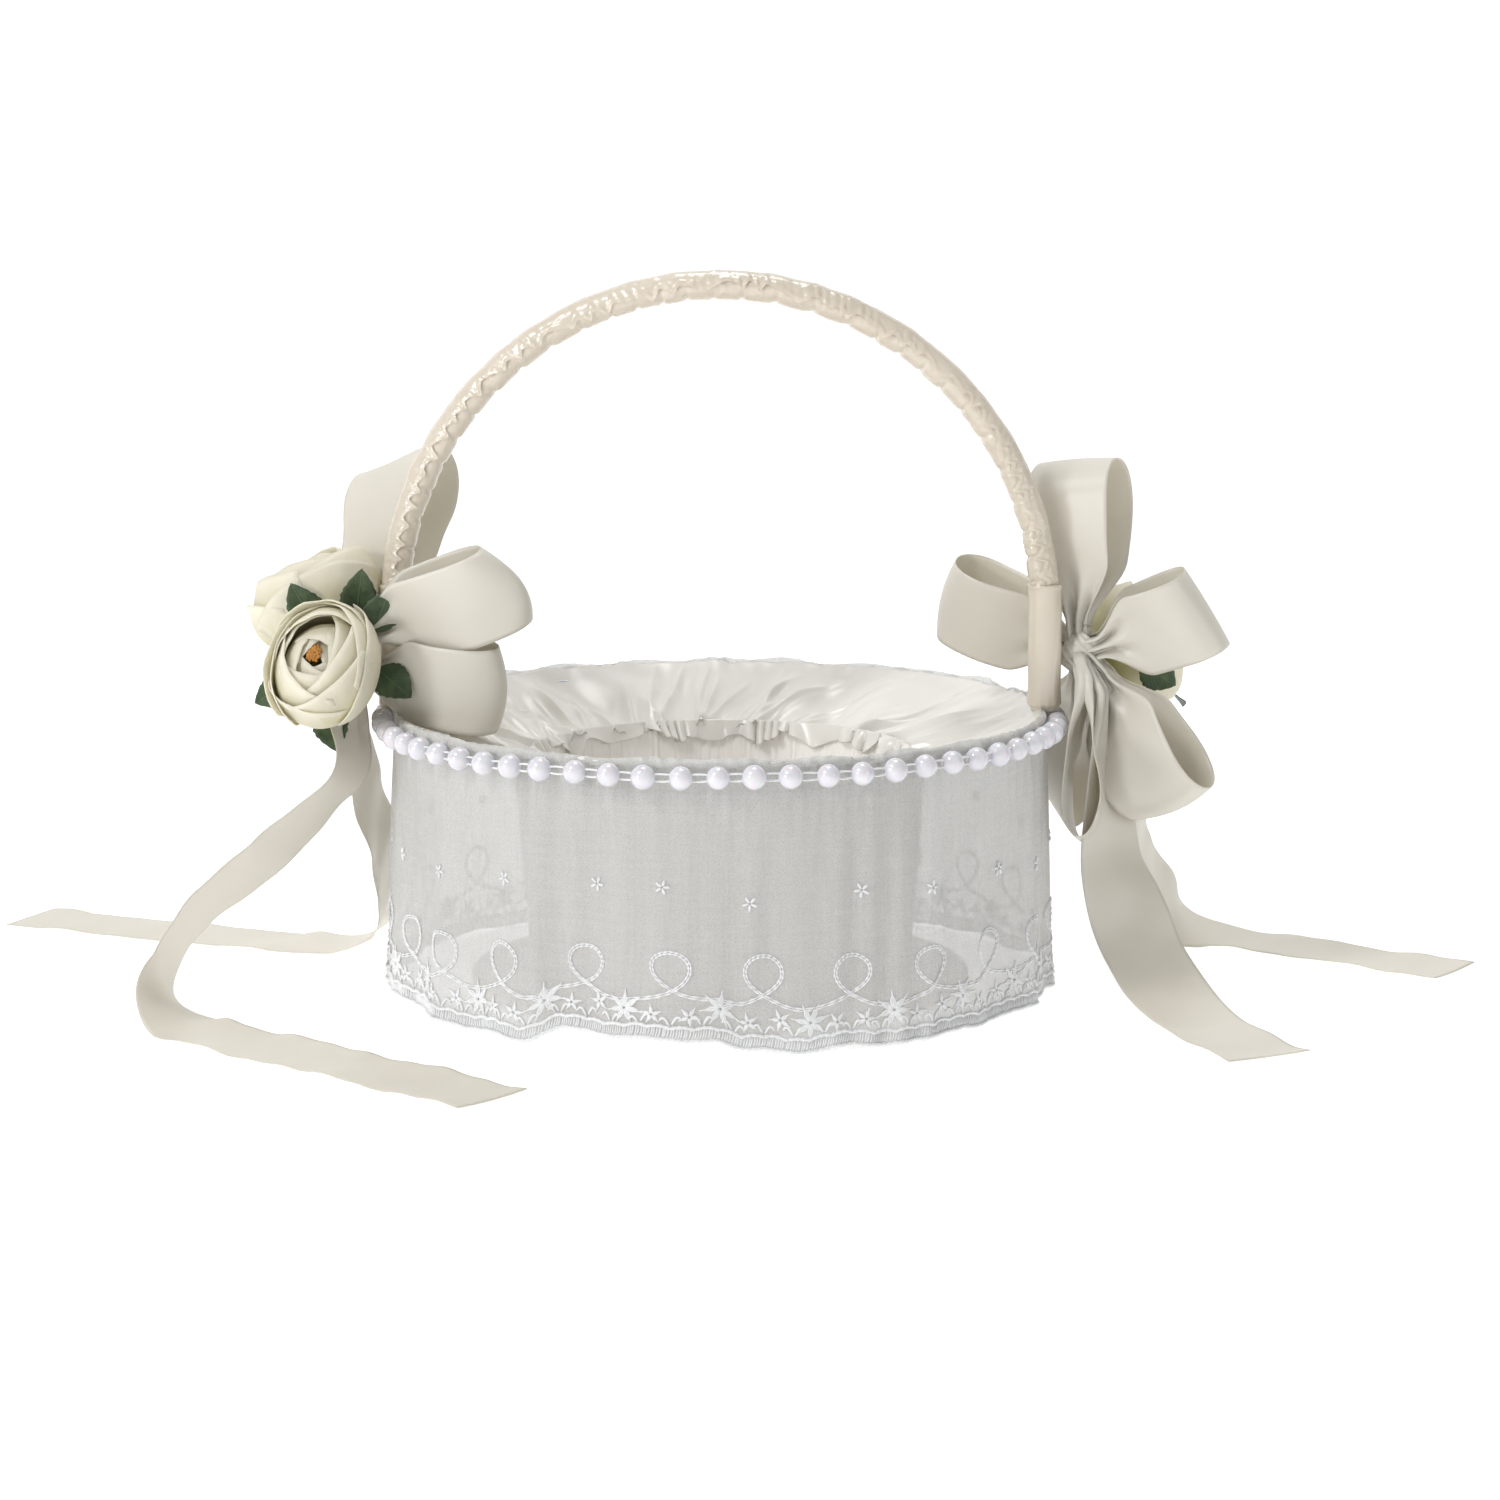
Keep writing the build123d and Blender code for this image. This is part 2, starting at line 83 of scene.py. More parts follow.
BAND_TUBE = span("right_foot_band")[1][1]

PEARL_COUNT = 62
PEARL_THREAD_RADIUS = 0.3
COLLAR_STRIP = 46.0       # width of the collar's satin before it is gathered
COLLAR_THICKNESS = 0.35
RUFFLE_THICKNESS = 0.3
RIBBON_WIDTH = 25.0
RIBBON_PINCHED = 7.0      # width where a ribbon is drawn into its knot
RIBBON_THICKNESS = 0.28
KNOT_THICKNESS = 0.3
PETAL_THICKNESS = 0.3
HEM_REPEATS = 24
SMALLEST_SIDE = 10.0      # the least side length given for a sheet, in mm


# ---- mesh helpers ----
def add_object(name, points, faces, slot, look=None, uv=None):
    """A mesh object from points in mm that rides on the basket, in its slot's look or in another one."""
    mesh = bpy.data.meshes.new(name)
    mesh.from_pydata([tuple(p) for p in np.asarray(points, float) * MM], [], faces)
    mesh.validate()
    mesh.polygons.foreach_set("use_smooth", [True] * len(mesh.polygons))
    if uv is not None:
        layer = mesh.uv_layers.new(name="UVMap")
        loops = np.zeros(len(mesh.loops), np.int32)
        mesh.loops.foreach_get("vertex_index", loops)
        layer.data.foreach_set("uv", np.asarray(uv, np.float32)[loops].ravel())
    mesh.materials.append(MATERIALS[look or slot])
    mesh.update()
    piece = bpy.data.objects.new(name, mesh)
    bpy.context.scene.collection.objects.link(piece)
    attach(piece, "root")
    return piece


def thicken(piece, thickness, offset=-1.0):
    """Give cloth its thickness in mm, behind its surface or, at offset 0, to both sides of it."""
    solid = piece.modifiers.new("thickness", "SOLIDIFY")
    solid.thickness = thickness * MM
    solid.offset = offset


def declare_sheet(piece, node, width, length, held, rests_on, **more):
    """Hide the CAD node that a piece of cloth stands for. The width x length in mm is not used."""
    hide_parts(node)


def grid_faces(rows, columns, wrap=False, start=0):
    """Quads over a rows x columns grid of points; wrap joins the last column to the first."""
    faces = []
    last = columns if wrap else columns - 1
    for r in range(rows - 1):
        for c in range(last):
            d = (c + 1) % columns
            a, b = start + r * columns, start + (r + 1) * columns
            faces.append((a + c, a + d, b + d, b + c))
    return faces


def grid_object(name, grid, slot, look=None, wrap=False, uv=None, thickness=0.0):
    """An object from a rows x columns x 3 array of points in mm."""
    rows, columns = grid.shape[:2]
    flat_uv = None if uv is None else uv.reshape(-1, 2)
    piece = add_object(name, grid.reshape(-1, 3), grid_faces(rows, columns, wrap), slot, look, flat_uv)
    if thickness:
        thicken(piece, thickness, 0)
    return piece


def patches_object(name, patches, rows, columns, slot):
    """Petals or leaves as one object. A patch is the points and the uv of one rows x columns grid."""
    points, uvs = zip(*patches)
    faces = []
    for k in range(len(patches)):
        faces += grid_faces(rows, columns, start=k * rows * columns)
    piece = add_object(name, np.concatenate(points), faces, slot, uv=np.concatenate(uvs))
    thicken(piece, PETAL_THICKNESS)
    return piece


def area_of(grid, wrap=False):
    """Area of a grid of points, in the grid's own units squared."""
    if wrap:
        grid = np.concatenate([grid, grid[:, :1]], axis=1)
    a, b, c, d = grid[:-1, :-1], grid[:-1, 1:], grid[1:, 1:], grid[1:, :-1]
    halves = np.linalg.norm(np.cross(b - a, c - a), axis=2) + np.linalg.norm(np.cross(c - a, d - a), axis=2)
    return float(halves.sum() / 2)


def around(count):
    """Evenly spaced angles round a circle."""
    return np.arange(count) * TAU / count


def column(count, start=0.0, end=1.0):
    """Evenly spaced values, one for each row of a grid."""
    return np.linspace(start, end, count)[:, None]


def stacked(*parts):
    """Broadcast arrays side by side as the coordinates of points."""
    return np.stack(np.broadcast_arrays(*parts), axis=-1)


def polar(angle, radius, z):
    """Points round the basket's axis from arrays of angle, radius and height."""
    return stacked(radius * np.cos(angle), radius * np.sin(angle), z)


def ring_waves(rng, low, high, count):
    """A smooth random function round a circle made of whole-number waves, about -1 to 1."""
    orders = rng.integers(low, high + 1, count)
    phases = rng.uniform(0, TAU, count)
    sizes = rng.uniform(0.5, 1.0, count)
    total = np.sqrt((sizes ** 2).sum() / 2) * 1.6

    def value(angle):
        angle = np.asarray(angle)[..., None]
        return (sizes * np.cos(orders * angle + phases)).sum(-1) / total
    return value


def line_waves(rng, shortest, longest, count):
    """A smooth random function along a line, from waves between two wavelengths in mm."""
    lengths = np.exp(rng.uniform(math.log(shortest), math.log(longest), count))
    phases = rng.uniform(0, TAU, count)

    def value(x):
        x = np.asarray(x)[..., None]
        return np.cos(TAU * x / lengths + phases).sum(-1) / math.sqrt(count / 2) / 1.6
    return value


def step(x):
    """0 below 0, 1 above 1, smooth between."""
    x = np.clip(x, 0, 1)
    return x * x * (3 - 2 * x)


def unit(v):
    v = np.asarray(v, float)
    return v / np.maximum(np.linalg.norm(v, axis=-1, keepdims=True), 1e-9)


def frames_along(path):
    """Tangents and two steady cross directions along a line of points."""
    tangent = unit(np.gradient(path, axis=0))
    first = np.cross(tangent[0], (0, 0, 1.0))
    if np.linalg.norm(first) < 0.1:
        first = np.cross(tangent[0], (1.0, 0, 0))
    sides = [unit(first)]
    for t in tangent[1:]:
        sides.append(unit(sides[-1] - t * np.dot(sides[-1], t)))
    side = np.array(sides)
    return tangent, side, np.cross(tangent, side)


def tube_points(path, radius, corners):
    """Rows of points round a line: radius is one number or one for each point of the line."""
    path = np.asarray(path, float)
    tangent, side, other = frames_along(path)
    angle = around(corners)[:, None]
    radius = np.broadcast_to(np.asarray(radius, float), (len(path),))[:, None, None]
    return path[:, None] + radius * (side[:, None] * np.cos(angle) + other[:, None] * np.sin(angle))


def tubes_object(name, paths, radii, slot, look=None, corners=6, closed=False):
    """Many round threads as one object. closed joins each thread's end to its start."""
    points, faces, start = [], [], 0
    for path, radius in zip(paths, radii):
        rows = tube_points(path, radius, corners)
        count = len(rows)
        points.append(rows.reshape(-1, 3))
        faces += grid_faces(count, corners, True, start)
        if closed:
            last = start + (count - 1) * corners
            faces += [(last + c, last + (c + 1) % corners, start + (c + 1) % corners, start + c)
                      for c in range(corners)]
        else:
            faces.append(tuple(start + c for c in reversed(range(corners))))
            faces.append(tuple(start + (count - 1) * corners + c for c in range(corners)))
        start += count * corners
    return add_object(name, np.concatenate(points), faces, slot, look)


# ---- materials ----
class Nodes:
    """A short way to write a material's node tree."""

    def __init__(self, name):
        self.material = bpy.data.materials.new(name)
        self.material.use_nodes = True
        self.tree = self.material.node_tree
        self.tree.nodes.clear()
        self.out = self.add("ShaderNodeOutputMaterial")

    def add(self, kind, inputs=None, **settings):
        node = self.tree.nodes.new(kind)
        for key, value in settings.items():
            setattr(node, key, value)
        for key, value in (inputs or {}).items():
            self.set(node, key, value)
        return node

    def set(self, node, key, value):
        socket = node.inputs[key]
        if isinstance(value, bpy.types.NodeSocket):
            self.tree.links.new(value, socket)
        else:
            socket.default_value = value

    def coords(self, kind="Object"):
        return self.add("ShaderNodeTexCoord").outputs[kind]

    def scaled(self, vector, scale):
        return self.add("ShaderNodeMapping", {"Vector": vector, "Scale": scale}).outputs["Vector"]

    def noise(self, vector, scale, detail=3.0, roughness=0.5):
        return self.add("ShaderNodeTexNoise", {"Vector": vector, "Scale": scale, "Detail": detail,
                                               "Roughness": roughness}).outputs["Fac"]

    def math(self, operation, a, b=0.0):
        return self.add("ShaderNodeMath", {0: a, 1: b}, operation=operation).outputs[0]

    def ramp(self, factor, stops):
        node = self.add("ShaderNodeValToRGB", {"Fac": factor})
        elements = node.color_ramp.elements
        while len(elements) < len(stops):
            elements.new(0.5)
        for element, (place, colour) in zip(elements, stops):
            element.position = place
            element.color = (*colour, 1)
        return node.outputs["Color"]

    def range(self, value, low, high):
        return self.add("ShaderNodeMapRange", {"Value": value, "To Min": low,
                                               "To Max": high}).outputs["Result"]

    def fade(self, value, start, end):
        """1 up to start, falling to 0 at end."""
        return self.add("ShaderNodeMapRange", {"Value": value, "From Min": start, "From Max": end,
                                               "To Min": 1.0, "To Max": 0.0}).outputs["Result"]

    def blend(self, share, first, second):
        """One colour going over into another."""
        return self.add("ShaderNodeMix", {"Factor": share, "A": first, "B": second},
                        data_type="RGBA").outputs["Result"]

    def bump(self, height, strength, distance):
        return self.add("ShaderNodeBump", {"Height": height, "Strength": strength,
                                           "Distance": distance}).outputs["Normal"]

    def principled(self, inputs):
        return self.add("ShaderNodeBsdfPrincipled", inputs).outputs["BSDF"]

    def translucent(self, inputs):
        return self.add("ShaderNodeBsdfTranslucent", inputs).outputs["BSDF"]

    def mix(self, share, first, second):
        return self.add("ShaderNodeMixShader", {0: share, 1: first, 2: second}).outputs["Shader"]

    def surface(self, shader):
        self.set(self.out, "Surface", shader)
        return self.material


def satin(name, light, dark, glow, gloss=0.42, coat=0.0, through=0.18):
    """Satin: a tight weave under a soft gloss, and a warm glow where light comes through it."""
    n = Nodes(name)
    place = n.coords()
    colour = n.ramp(n.noise(place, 38.0, 3.0), [(0.32, dark), (0.68, light)])
    threads = n.noise(place, 3200.0, 2.0, 0.6)
    slubs = n.noise(place, 420.0, 2.0, 0.5)
    height = n.math("ADD", n.math("MULTIPLY", threads, 0.6), n.math("MULTIPLY", slubs, 0.3))
    normal = n.bump(height, 0.10, 0.00010)
    face = n.principled({
        "Base Color": colour, "Roughness": n.range(threads, gloss - 0.03, gloss + 0.03), "Normal": normal,
        "Sheen Weight": 0.15, "Sheen Roughness": 0.3, "Specular IOR Level": 0.7,
        "Coat Weight": coat, "Coat Roughness": 0.22})
    return n.surface(n.mix(through, face, n.translucent({"Color": (*glow, 1), "Normal": normal})))


def tulle(name):
    """Fine net: threads that scatter light, with air between them; their white is greyed with painted shade.
    """
    n = Nodes(name)
    place = n.coords()
    cells = n.add("ShaderNodeTexVoronoi", {"Vector": place, "Scale": 1500.0}, feature="DISTANCE_TO_EDGE")
    net = n.fade(cells.outputs["Distance"], 0.02, 0.30)
    upright = n.noise(n.scaled(place, (1.0, 1.0, 0.06)), 900.0, 2.0)
    level = n.noise(n.scaled(place, (0.06, 0.06, 1.0)), 900.0, 2.0)
    cloud = n.noise(place, 55.0, 3.0)
    weave = n.math("ADD", n.range(upright, 0.0, 0.14), n.range(level, 0.0, 0.10))
    cover = n.math("ADD", n.math("MULTIPLY", net, 0.14), n.math("ADD", weave, n.range(cloud, 0.54, 0.66)))
    # painted shade: the threads' white is given as a light grey so the whole skirt reads as shaded
    white = (0.75, 0.755, 0.745, 1)
    threads = n.principled({"Base Color": white, "Roughness": 0.6, "Sheen Weight": 0.1,
                            "Normal": n.bump(net, 0.15, 0.0001)})
    lit_threads = n.mix(0.5, threads, n.translucent({"Color": white}))
    air = n.add("ShaderNodeBsdfTransparent").outputs["BSDF"]
    return n.surface(n.mix(cover, air, lit_threads))


def embroidery(name):
    """Glossy rayon thread with fine twist."""
    n = Nodes(name)
    place = n.coords()
    twist = n.noise(place, 2600.0, 2.0)
    colour = n.ramp(n.noise(place, 90.0), [(0.3, (0.77, 0.775, 0.78)), (0.7, (0.83, 0.835, 0.845))])
    return n.surface(n.principled({
        "Base Color": colour, "Roughness": n.range(twist, 0.35, 0.6), "Sheen Weight": 0.4,
        "Normal": n.bump(twist, 0.5, 0.0002)}))


def pearl(name):
    """Pearl lacquer: white under a clear coat, with a faint lavender painted into its colour towards the
    outline: painted sheen and edge shade that follow the view.
    """
    n = Nodes(name)
    place = n.coords()
    cloud = n.noise(place, 320.0, 3.0)
    # painted sheen and edge shade: Layer Weight Facing blends a darker lavender into the base colour, up to
    # 45 percent where the surface turns from the view
    edge = n.add("ShaderNodeLayerWeight", {"Blend": 0.35}).outputs["Facing"]
    body = n.ramp(cloud, [(0.3, (0.68, 0.68, 0.72)), (0.7, (0.75, 0.75, 0.785))])
    colour = n.blend(n.math("MULTIPLY", edge, 0.45), body, (0.56, 0.55, 0.66, 1))
    return n.surface(n.principled({
        "Base Color": colour, "Roughness": n.range(cloud, 0.16, 0.26), "Coat Weight": 0.8,
        "Coat Roughness": 0.06, "Subsurface Weight": 0.25, "Subsurface Scale": 0.002,
        "Normal": n.bump(cloud, 0.05, 0.0002)}))


def petal_silk(name):
    """Pressed silk petal: ivory, going yellow-green at its base and thin at the rim."""
    n = Nodes(name)
    uv = n.coords("UV")
    split = n.add("ShaderNodeSeparateXYZ", {"Vector": uv})
    place = n.coords()
    cloud = n.noise(place, 240.0, 3.0)
    height = n.math("ADD", split.outputs["Y"], n.math("MULTIPLY", cloud, 0.16))
    colour = n.ramp(height, [(0.10, (0.60, 0.58, 0.22)), (0.50, (0.86, 0.82, 0.56)),
                             (0.82, (0.90, 0.86, 0.70)), (1.0, (0.95, 0.92, 0.80))])
    veins = n.noise(n.scaled(uv, (40.0, 3.0, 1.0)), 3.0, 3.0)
    weave = n.noise(place, 2600.0, 2.0)
    bump = n.bump(n.math("ADD", n.math("MULTIPLY", veins, 0.8), n.math("MULTIPLY", weave, 0.3)), 0.35, 0.0003)
    face = n.principled({
        "Base Color": colour, "Roughness": n.range(cloud, 0.42, 0.58), "Sheen Weight": 0.3, "Normal": bump})
    return n.surface(n.mix(0.38, face, n.translucent({"Color": colour, "Normal": bump})))


def leaf_silk(name):
    """Dark green pressed leaf with pale veins."""
    n = Nodes(name)
    uv = n.coords("UV")
    split = n.add("ShaderNodeSeparateXYZ", {"Vector": uv})
    side = n.math("ABSOLUTE", split.outputs["X"])
    slant = n.math("SUBTRACT", n.math("MULTIPLY", split.outputs["Y"], 9.0), n.math("MULTIPLY", side, 4.0))
    stripes = n.math("ABSOLUTE", n.math("SINE", n.math("MULTIPLY", slant, math.pi)))
    vein = n.fade(stripes, 0.0, 0.22)
    rib = n.fade(side, 0.02, 0.09)
    lines = n.math("MAXIMUM", n.math("MULTIPLY", vein, 0.5), rib)
    cloud = n.noise(n.coords(), 300.0, 3.0)
    green = n.ramp(cloud, [(0.3, (0.028, 0.055, 0.022)), (0.7, (0.070, 0.115, 0.048))])
    colour = n.blend(n.math("MULTIPLY", lines, 0.45), green, (0.13, 0.19, 0.09, 1))
    return n.surface(n.principled({
        "Base Color": colour, "Roughness": n.range(cloud, 0.45, 0.65), "Sheen Weight": 0.25,
        "Normal": n.bump(lines, 0.6, 0.0003)}))


def plain(name, light, dark, roughness, scale, metallic=0.0):
    """Card, foam, wire and stamens: a mottled tone with a matching grain."""
    n = Nodes(name)
    place = n.coords()
    grain = n.noise(place, scale, 4.0, 0.6)
    return n.surface(n.principled({
        "Base Color": n.ramp(grain, [(0.3, dark), (0.7, light)]), "Metallic": metallic,
        "Roughness": n.range(grain, roughness - 0.08, roughness + 0.1),
        "Normal": n.bump(grain, 0.4, 0.0003)}))


MATERIALS = {
    "base_satin": satin("base_satin", (0.76, 0.72, 0.69), (0.70, 0.66, 0.63), (0.80, 0.72, 0.66)),
    "tub_satin": satin("tub_satin", (0.90, 0.862, 0.835), (0.84, 0.80, 0.775), (0.95, 0.86, 0.80)),
    "collar_satin": satin("collar_satin", (0.91, 0.893, 0.85), (0.86, 0.843, 0.80), (0.96, 0.92, 0.82),
                          gloss=0.30, coat=0.25),
    "handle_satin": satin("handle_satin", (0.80, 0.73, 0.62), (0.75, 0.68, 0.57), (0.95, 0.82, 0.64),
                          gloss=0.26, coat=0.9),
    "ribbon_satin": satin("ribbon_satin", (0.79, 0.765, 0.70), (0.755, 0.73, 0.66), (0.94, 0.89, 0.76),
                          gloss=0.36, through=0.24),
    # lining_satin: near white like the lining's own white satin, and set lighter still as painted light that
    # brightens the shade inside the tub
    "lining_satin": satin("lining_satin", (0.98, 0.955, 0.92), (0.96, 0.935, 0.895), (0.98, 0.93, 0.86),
                          gloss=0.5, through=0.0),
    "lace": tulle("lace"),
    "pearl": pearl("pearl"),
    "thread": embroidery("thread"),
    "silk_petal": petal_silk("silk_petal"),
    "leaf_silk": leaf_silk("leaf_silk"),
    "stamen": plain("stamen", (0.62, 0.30, 0.06), (0.36, 0.14, 0.02), 0.6, 900.0),
    "stem_wire": plain("stem_wire", (0.16, 0.24, 0.10), (0.10, 0.16, 0.06), 0.7, 900.0),
    "card": plain("card", (0.55, 0.47, 0.37), (0.44, 0.37, 0.29), 0.85, 700.0),
    "steel_wire": plain("steel_wire", (0.62, 0.62, 0.64), (0.50, 0.50, 0.52), 0.35, 1500.0, 1.0),
    "foam": plain("foam", (0.90, 0.87, 0.80), (0.82, 0.79, 0.72), 0.9, 1600.0),
}

for entry in frame["record"]["subparts"]:
    cad_node = frame["nodes"][entry["node"]]
    cad_node.data.materials.clear()
    cad_node.data.materials.append(MATERIALS[entry["material_slot"]])


# ---- tub ----
def pleated_wall(name, node, inset, taper, depth, pleats, seed, look):
    """Cloth drawn into many narrow upright pleats round the tub, which narrows by taper towards its floor."""
    rng = np.random.default_rng(seed)
    columns, rows = 1440, 26
    z_low, z_high = levels(node)
    radius_high = outer_radius(node) - inset
    angle = around(columns)
    drift = ring_waves(rng, 3, 14, 6)
    swell = ring_waves(rng, 20, 60, 14)
    level = column(rows)
    warp = angle + 0.018 * drift(angle) + 0.006 * np.sin(3.1 * level + 9 * angle)
    ridge = np.cos(pleats * warp + 1.6 * swell(angle))
    fine = np.cos(2.37 * pleats * angle + 5 * drift(angle) + 2.2 * level)
    height = depth * (0.75 * ridge + 0.35 * fine) * (0.65 + 0.35 * swell(angle + 0.05 * level))
    tall = z_high - z_low
    grid = polar(angle, radius_high - taper + taper * level + height, z_low + tall * level)
    piece = grid_object(name, grid, "tub_satin", look, wrap=True)
    declare_sheet(piece, node, area_of(grid, True) / tall, tall, "gathered", ["tub_wall"])


pleated_wall("pleated_cover", "tub_pleated_cover", inset=0.5, taper=4.2, depth=0.8, pleats=170, seed=11,
             look="tub_satin")
# the lining's look is partly painted light, set lighter to brighten the shade inside the tub
pleated_wall("inner_lining", "tub_lining", inset=0.6, taper=4.1, depth=0.3, pleats=96, seed=12,
             look="lining_satin")


def floor_cloth():
    """The satin over the floor pad, with soft creases that run to its edge."""
    rng = np.random.default_rng(13)
    rings, columns = 30, 240
    radius, top = outer_radius("floor_lining"), levels("floor_lining")[1]
    angle = around(columns)
    crease = ring_waves(rng, 14, 44, 18)
    share = column(rings, 0.02)
    crease_depth, below_top = 0.5, 0.4
    grid = polar(angle, radius * share, top - below_top + crease_depth * crease(angle) * share ** 2)
    piece = grid_object("floor_cloth", grid, "collar_satin", wrap=True)
    across = 2 * radius
    declare_sheet(piece, "floor_lining", across, across, "stretched", ["floor_pad"],
                  area=math.pi * (across * MM) ** 2 / 4)


def floor_cushion():
    """The thin pad under the floor's satin: a crowned disc with a soft rolled edge and a few dimples."""
    rng = np.random.default_rng(14)
    low, high = span("floor_pad")
    middle, half = (low[2] + high[2]) / 2, (high[2] - low[2]) / 2
    rows, columns = 33, 144
    angle = around(columns)
    pole, roundness = math.pi / 2 - 0.002, 0.35
    climb = column(rows, -pole, pole)
    radius = high[0] * np.cos(climb) ** roundness
    dimples = ring_waves(rng, 3, 9, 5)(angle) * 0.08
    grid = polar(angle, radius, middle + half * np.sin(climb) * (0.94 + dimples * np.cos(climb)))
    faces = grid_faces(rows, columns, True)
    faces += [tuple(reversed(range(columns))), tuple((rows - 1) * columns + c for c in range(columns))]
    piece = add_object("floor_cushion", grid.reshape(-1, 3), faces, "foam")
    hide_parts("floor_pad")


floor_cloth()
floor_cushion()


# ---- satin collar and its ruffle ----
def collar_fold_field(rng, count):
    """Folds of the collar: sharp ridges that start below the rim and grow towards the tub's mouth."""
    angles = (np.arange(count) + rng.uniform(-0.42, 0.42, count)) * TAU / count
    slants = 0.14 + rng.normal(0, 0.09, count) + 0.16 * np.exp(-((angles - 0.8) / 0.5) ** 2)
    starts = rng.uniform(-0.15, 0.5, count)
    heights = rng.uniform(0.7, 2.5, count)
    widths = rng.uniform(0.9, 2.3, count)
    bends = rng.normal(0, 0.035, count)

    def value(angle, share, radius):
        total = np.zeros(np.broadcast(angle, share).shape)
        for a, s, b, h, w, c in zip(angles, slants, starts, heights, widths, bends):
            away = (angle - a - s * share - c * np.sin(math.pi * share) + math.pi) % TAU - math.pi
            away = np.sqrt((away * radius) ** 2 + 0.06) / w
            total += h * step((share - b) / 0.6) * (1 + away) * np.exp(-1.9 * away)
        return total
    return value


def collar():
    """The funnel of folded satin from the pearl rim down to the tub's mouth."""
    rng = np.random.default_rng(21)
    columns, rows = 1800, 52
    angle = around(columns)
    share = column(rows, -0.06)
    down = np.clip(share, 0, 1)
    radius = COLLAR_RADIUS - 0.6 - (COLLAR_RADIUS - MOUTH_RADIUS - 1.0) * down
    slope = COLLAR_TOP_Z - 0.2 - (COLLAR_TOP_Z - COLLAR_LOW_Z - 1.0) * (down ** 0.85)
    lip = np.where(share < 0, 26.0 * share, 0.0)
    large_folds, small_folds = 74, 110
    large = 1.35 * collar_fold_field(rng, large_folds)(angle, down, radius)
    small = 0.3 * collar_fold_field(rng, small_folds)(angle, down, radius)
    broad = ring_waves(rng, 7, 19, 10)
    drape = broad(angle + 0.14 * down) * np.sin(math.pi * down) * 1.5
    edge = ring_waves(rng, 18, 44, 10)(angle) * 0.3 * (1 - step(down / 0.2))
    pucker = ring_waves(rng, 70, 95, 8)(angle) * 0.15 * (1 - step(down / 0.3))
    sag = 2.9 * down
    z = slope + lip + large + small + drape - sag + edge + pucker + 0.3
    grid = polar(angle, radius + np.where(share < 0, 0.7, 0.0), z)
    piece = grid_object("collar_cloth", grid, "collar_satin", wrap=True, thickness=COLLAR_THICKNESS)
    declare_sheet(piece, "satin_collar", TAU * COLLAR_RADIUS, COLLAR_STRIP, "gathered",
                  ["rim_ring", "mouth_ring"])


def ruffle():
    """The gathered edge of the collar, curling in and out round the tub's mouth."""
    rng = np.random.default_rng(22)
    columns, rows = 1800, 14
    angle = around(columns)
    share = column(rows)
    stray = ring_waves(rng, 2, 13, 8)
    size = ring_waves(rng, 4, 21, 9)
    height = ring_waves(rng, 5, 26, 9)
    curls = 46
    phase = curls * angle + 9.0 * stray(angle)
    swing = (0.2 + 1.3 * share) * (0.8 + 0.8 * size(angle))
    radius = MOUTH_RADIUS + 1.4 - 2.4 * share + swing * np.sin(phase + 0.6 * share)
    top = FRILL_TOP_Z + 0.4
    z = top - (top - FRILL_LOW_Z) * share * (0.8 + 0.35 * height(angle))
    z = z + 0.7 * np.cos(phase * 0.5) * share ** 2
    lean = 0.016 * np.cos(phase) * share
    grid = polar(angle + lean, radius, z)
    piece = grid_object("collar_ruffle", grid, "collar_satin", wrap=True, thickness=RUFFLE_THICKNESS)
    drop = FRILL_TOP_Z - FRILL_LOW_Z
    area = area_of(grid, True)
    declare_sheet(piece, "collar_frill", area / drop, max(SMALLEST_SIDE, drop), "gathered", ["collar_cloth"],
                  area=area * MM * MM)


collar()
ruffle()


# ---- lace skirt ----
skirt_rng = np.random.default_rng(31)
SKIRT_FOLDS = ring_waves(skirt_rng, 9, 22, 12)
SKIRT_CREASES = ring_waves(skirt_rng, 34, 70, 16)
SKIRT_GATHER = ring_waves(skirt_rng, 110, 150, 12)
SKIRT_HEM_WAVE = ring_waves(skirt_rng, 16, 34, 8)
SKIRT_FOLD_DEPTH = 1.7
SKIRT_CREASE_DEPTH = 0.55
SKIRT_GATHER_DEPTH = 0.3
SKIRT_GAP = 0.8                # how far outside the collar's edge the tulle starts
SKIRT_START_DROP = 0.6         # how far below the skirt's top it starts
HEM_CLEARANCE = 1.0
HEM_UNEVEN = 0.7
LIFTED_FROM, LIFTED_TO = math.radians(-117), math.radians(-91)   # where the front of the hem rides up
LIFT = 3.8
HEM_LENGTH = TAU * SKIRT_HEM_RADIUS
REPEAT = HEM_LENGTH / HEM_REPEATS
HEM_SCALLOP = HEM_LENGTH / (4 * HEM_REPEATS)
HEM_BAND_TOP = 3.4             # heights and sizes of the embroidery, measured up from the hem
STAR_LIFT = 9.4
SCROLL_LIFT = 18.8
SCROLL_RING = 7.0
SCROLL_REACH = 10.5
SCATTER_LIFT = 42.5


def hem_height(angle):
    """Height of the skirt's lower edge over the floor, in mm."""
    angle = (np.asarray(angle) + math.pi) % TAU - math.pi
    rise = step((angle - LIFTED_FROM + 0.12) / 0.12) * (1 - step((angle - LIFTED_TO) / 0.1))
    return HEM_CLEARANCE + HEM_UNEVEN * SKIRT_HEM_WAVE(angle) + LIFT * rise


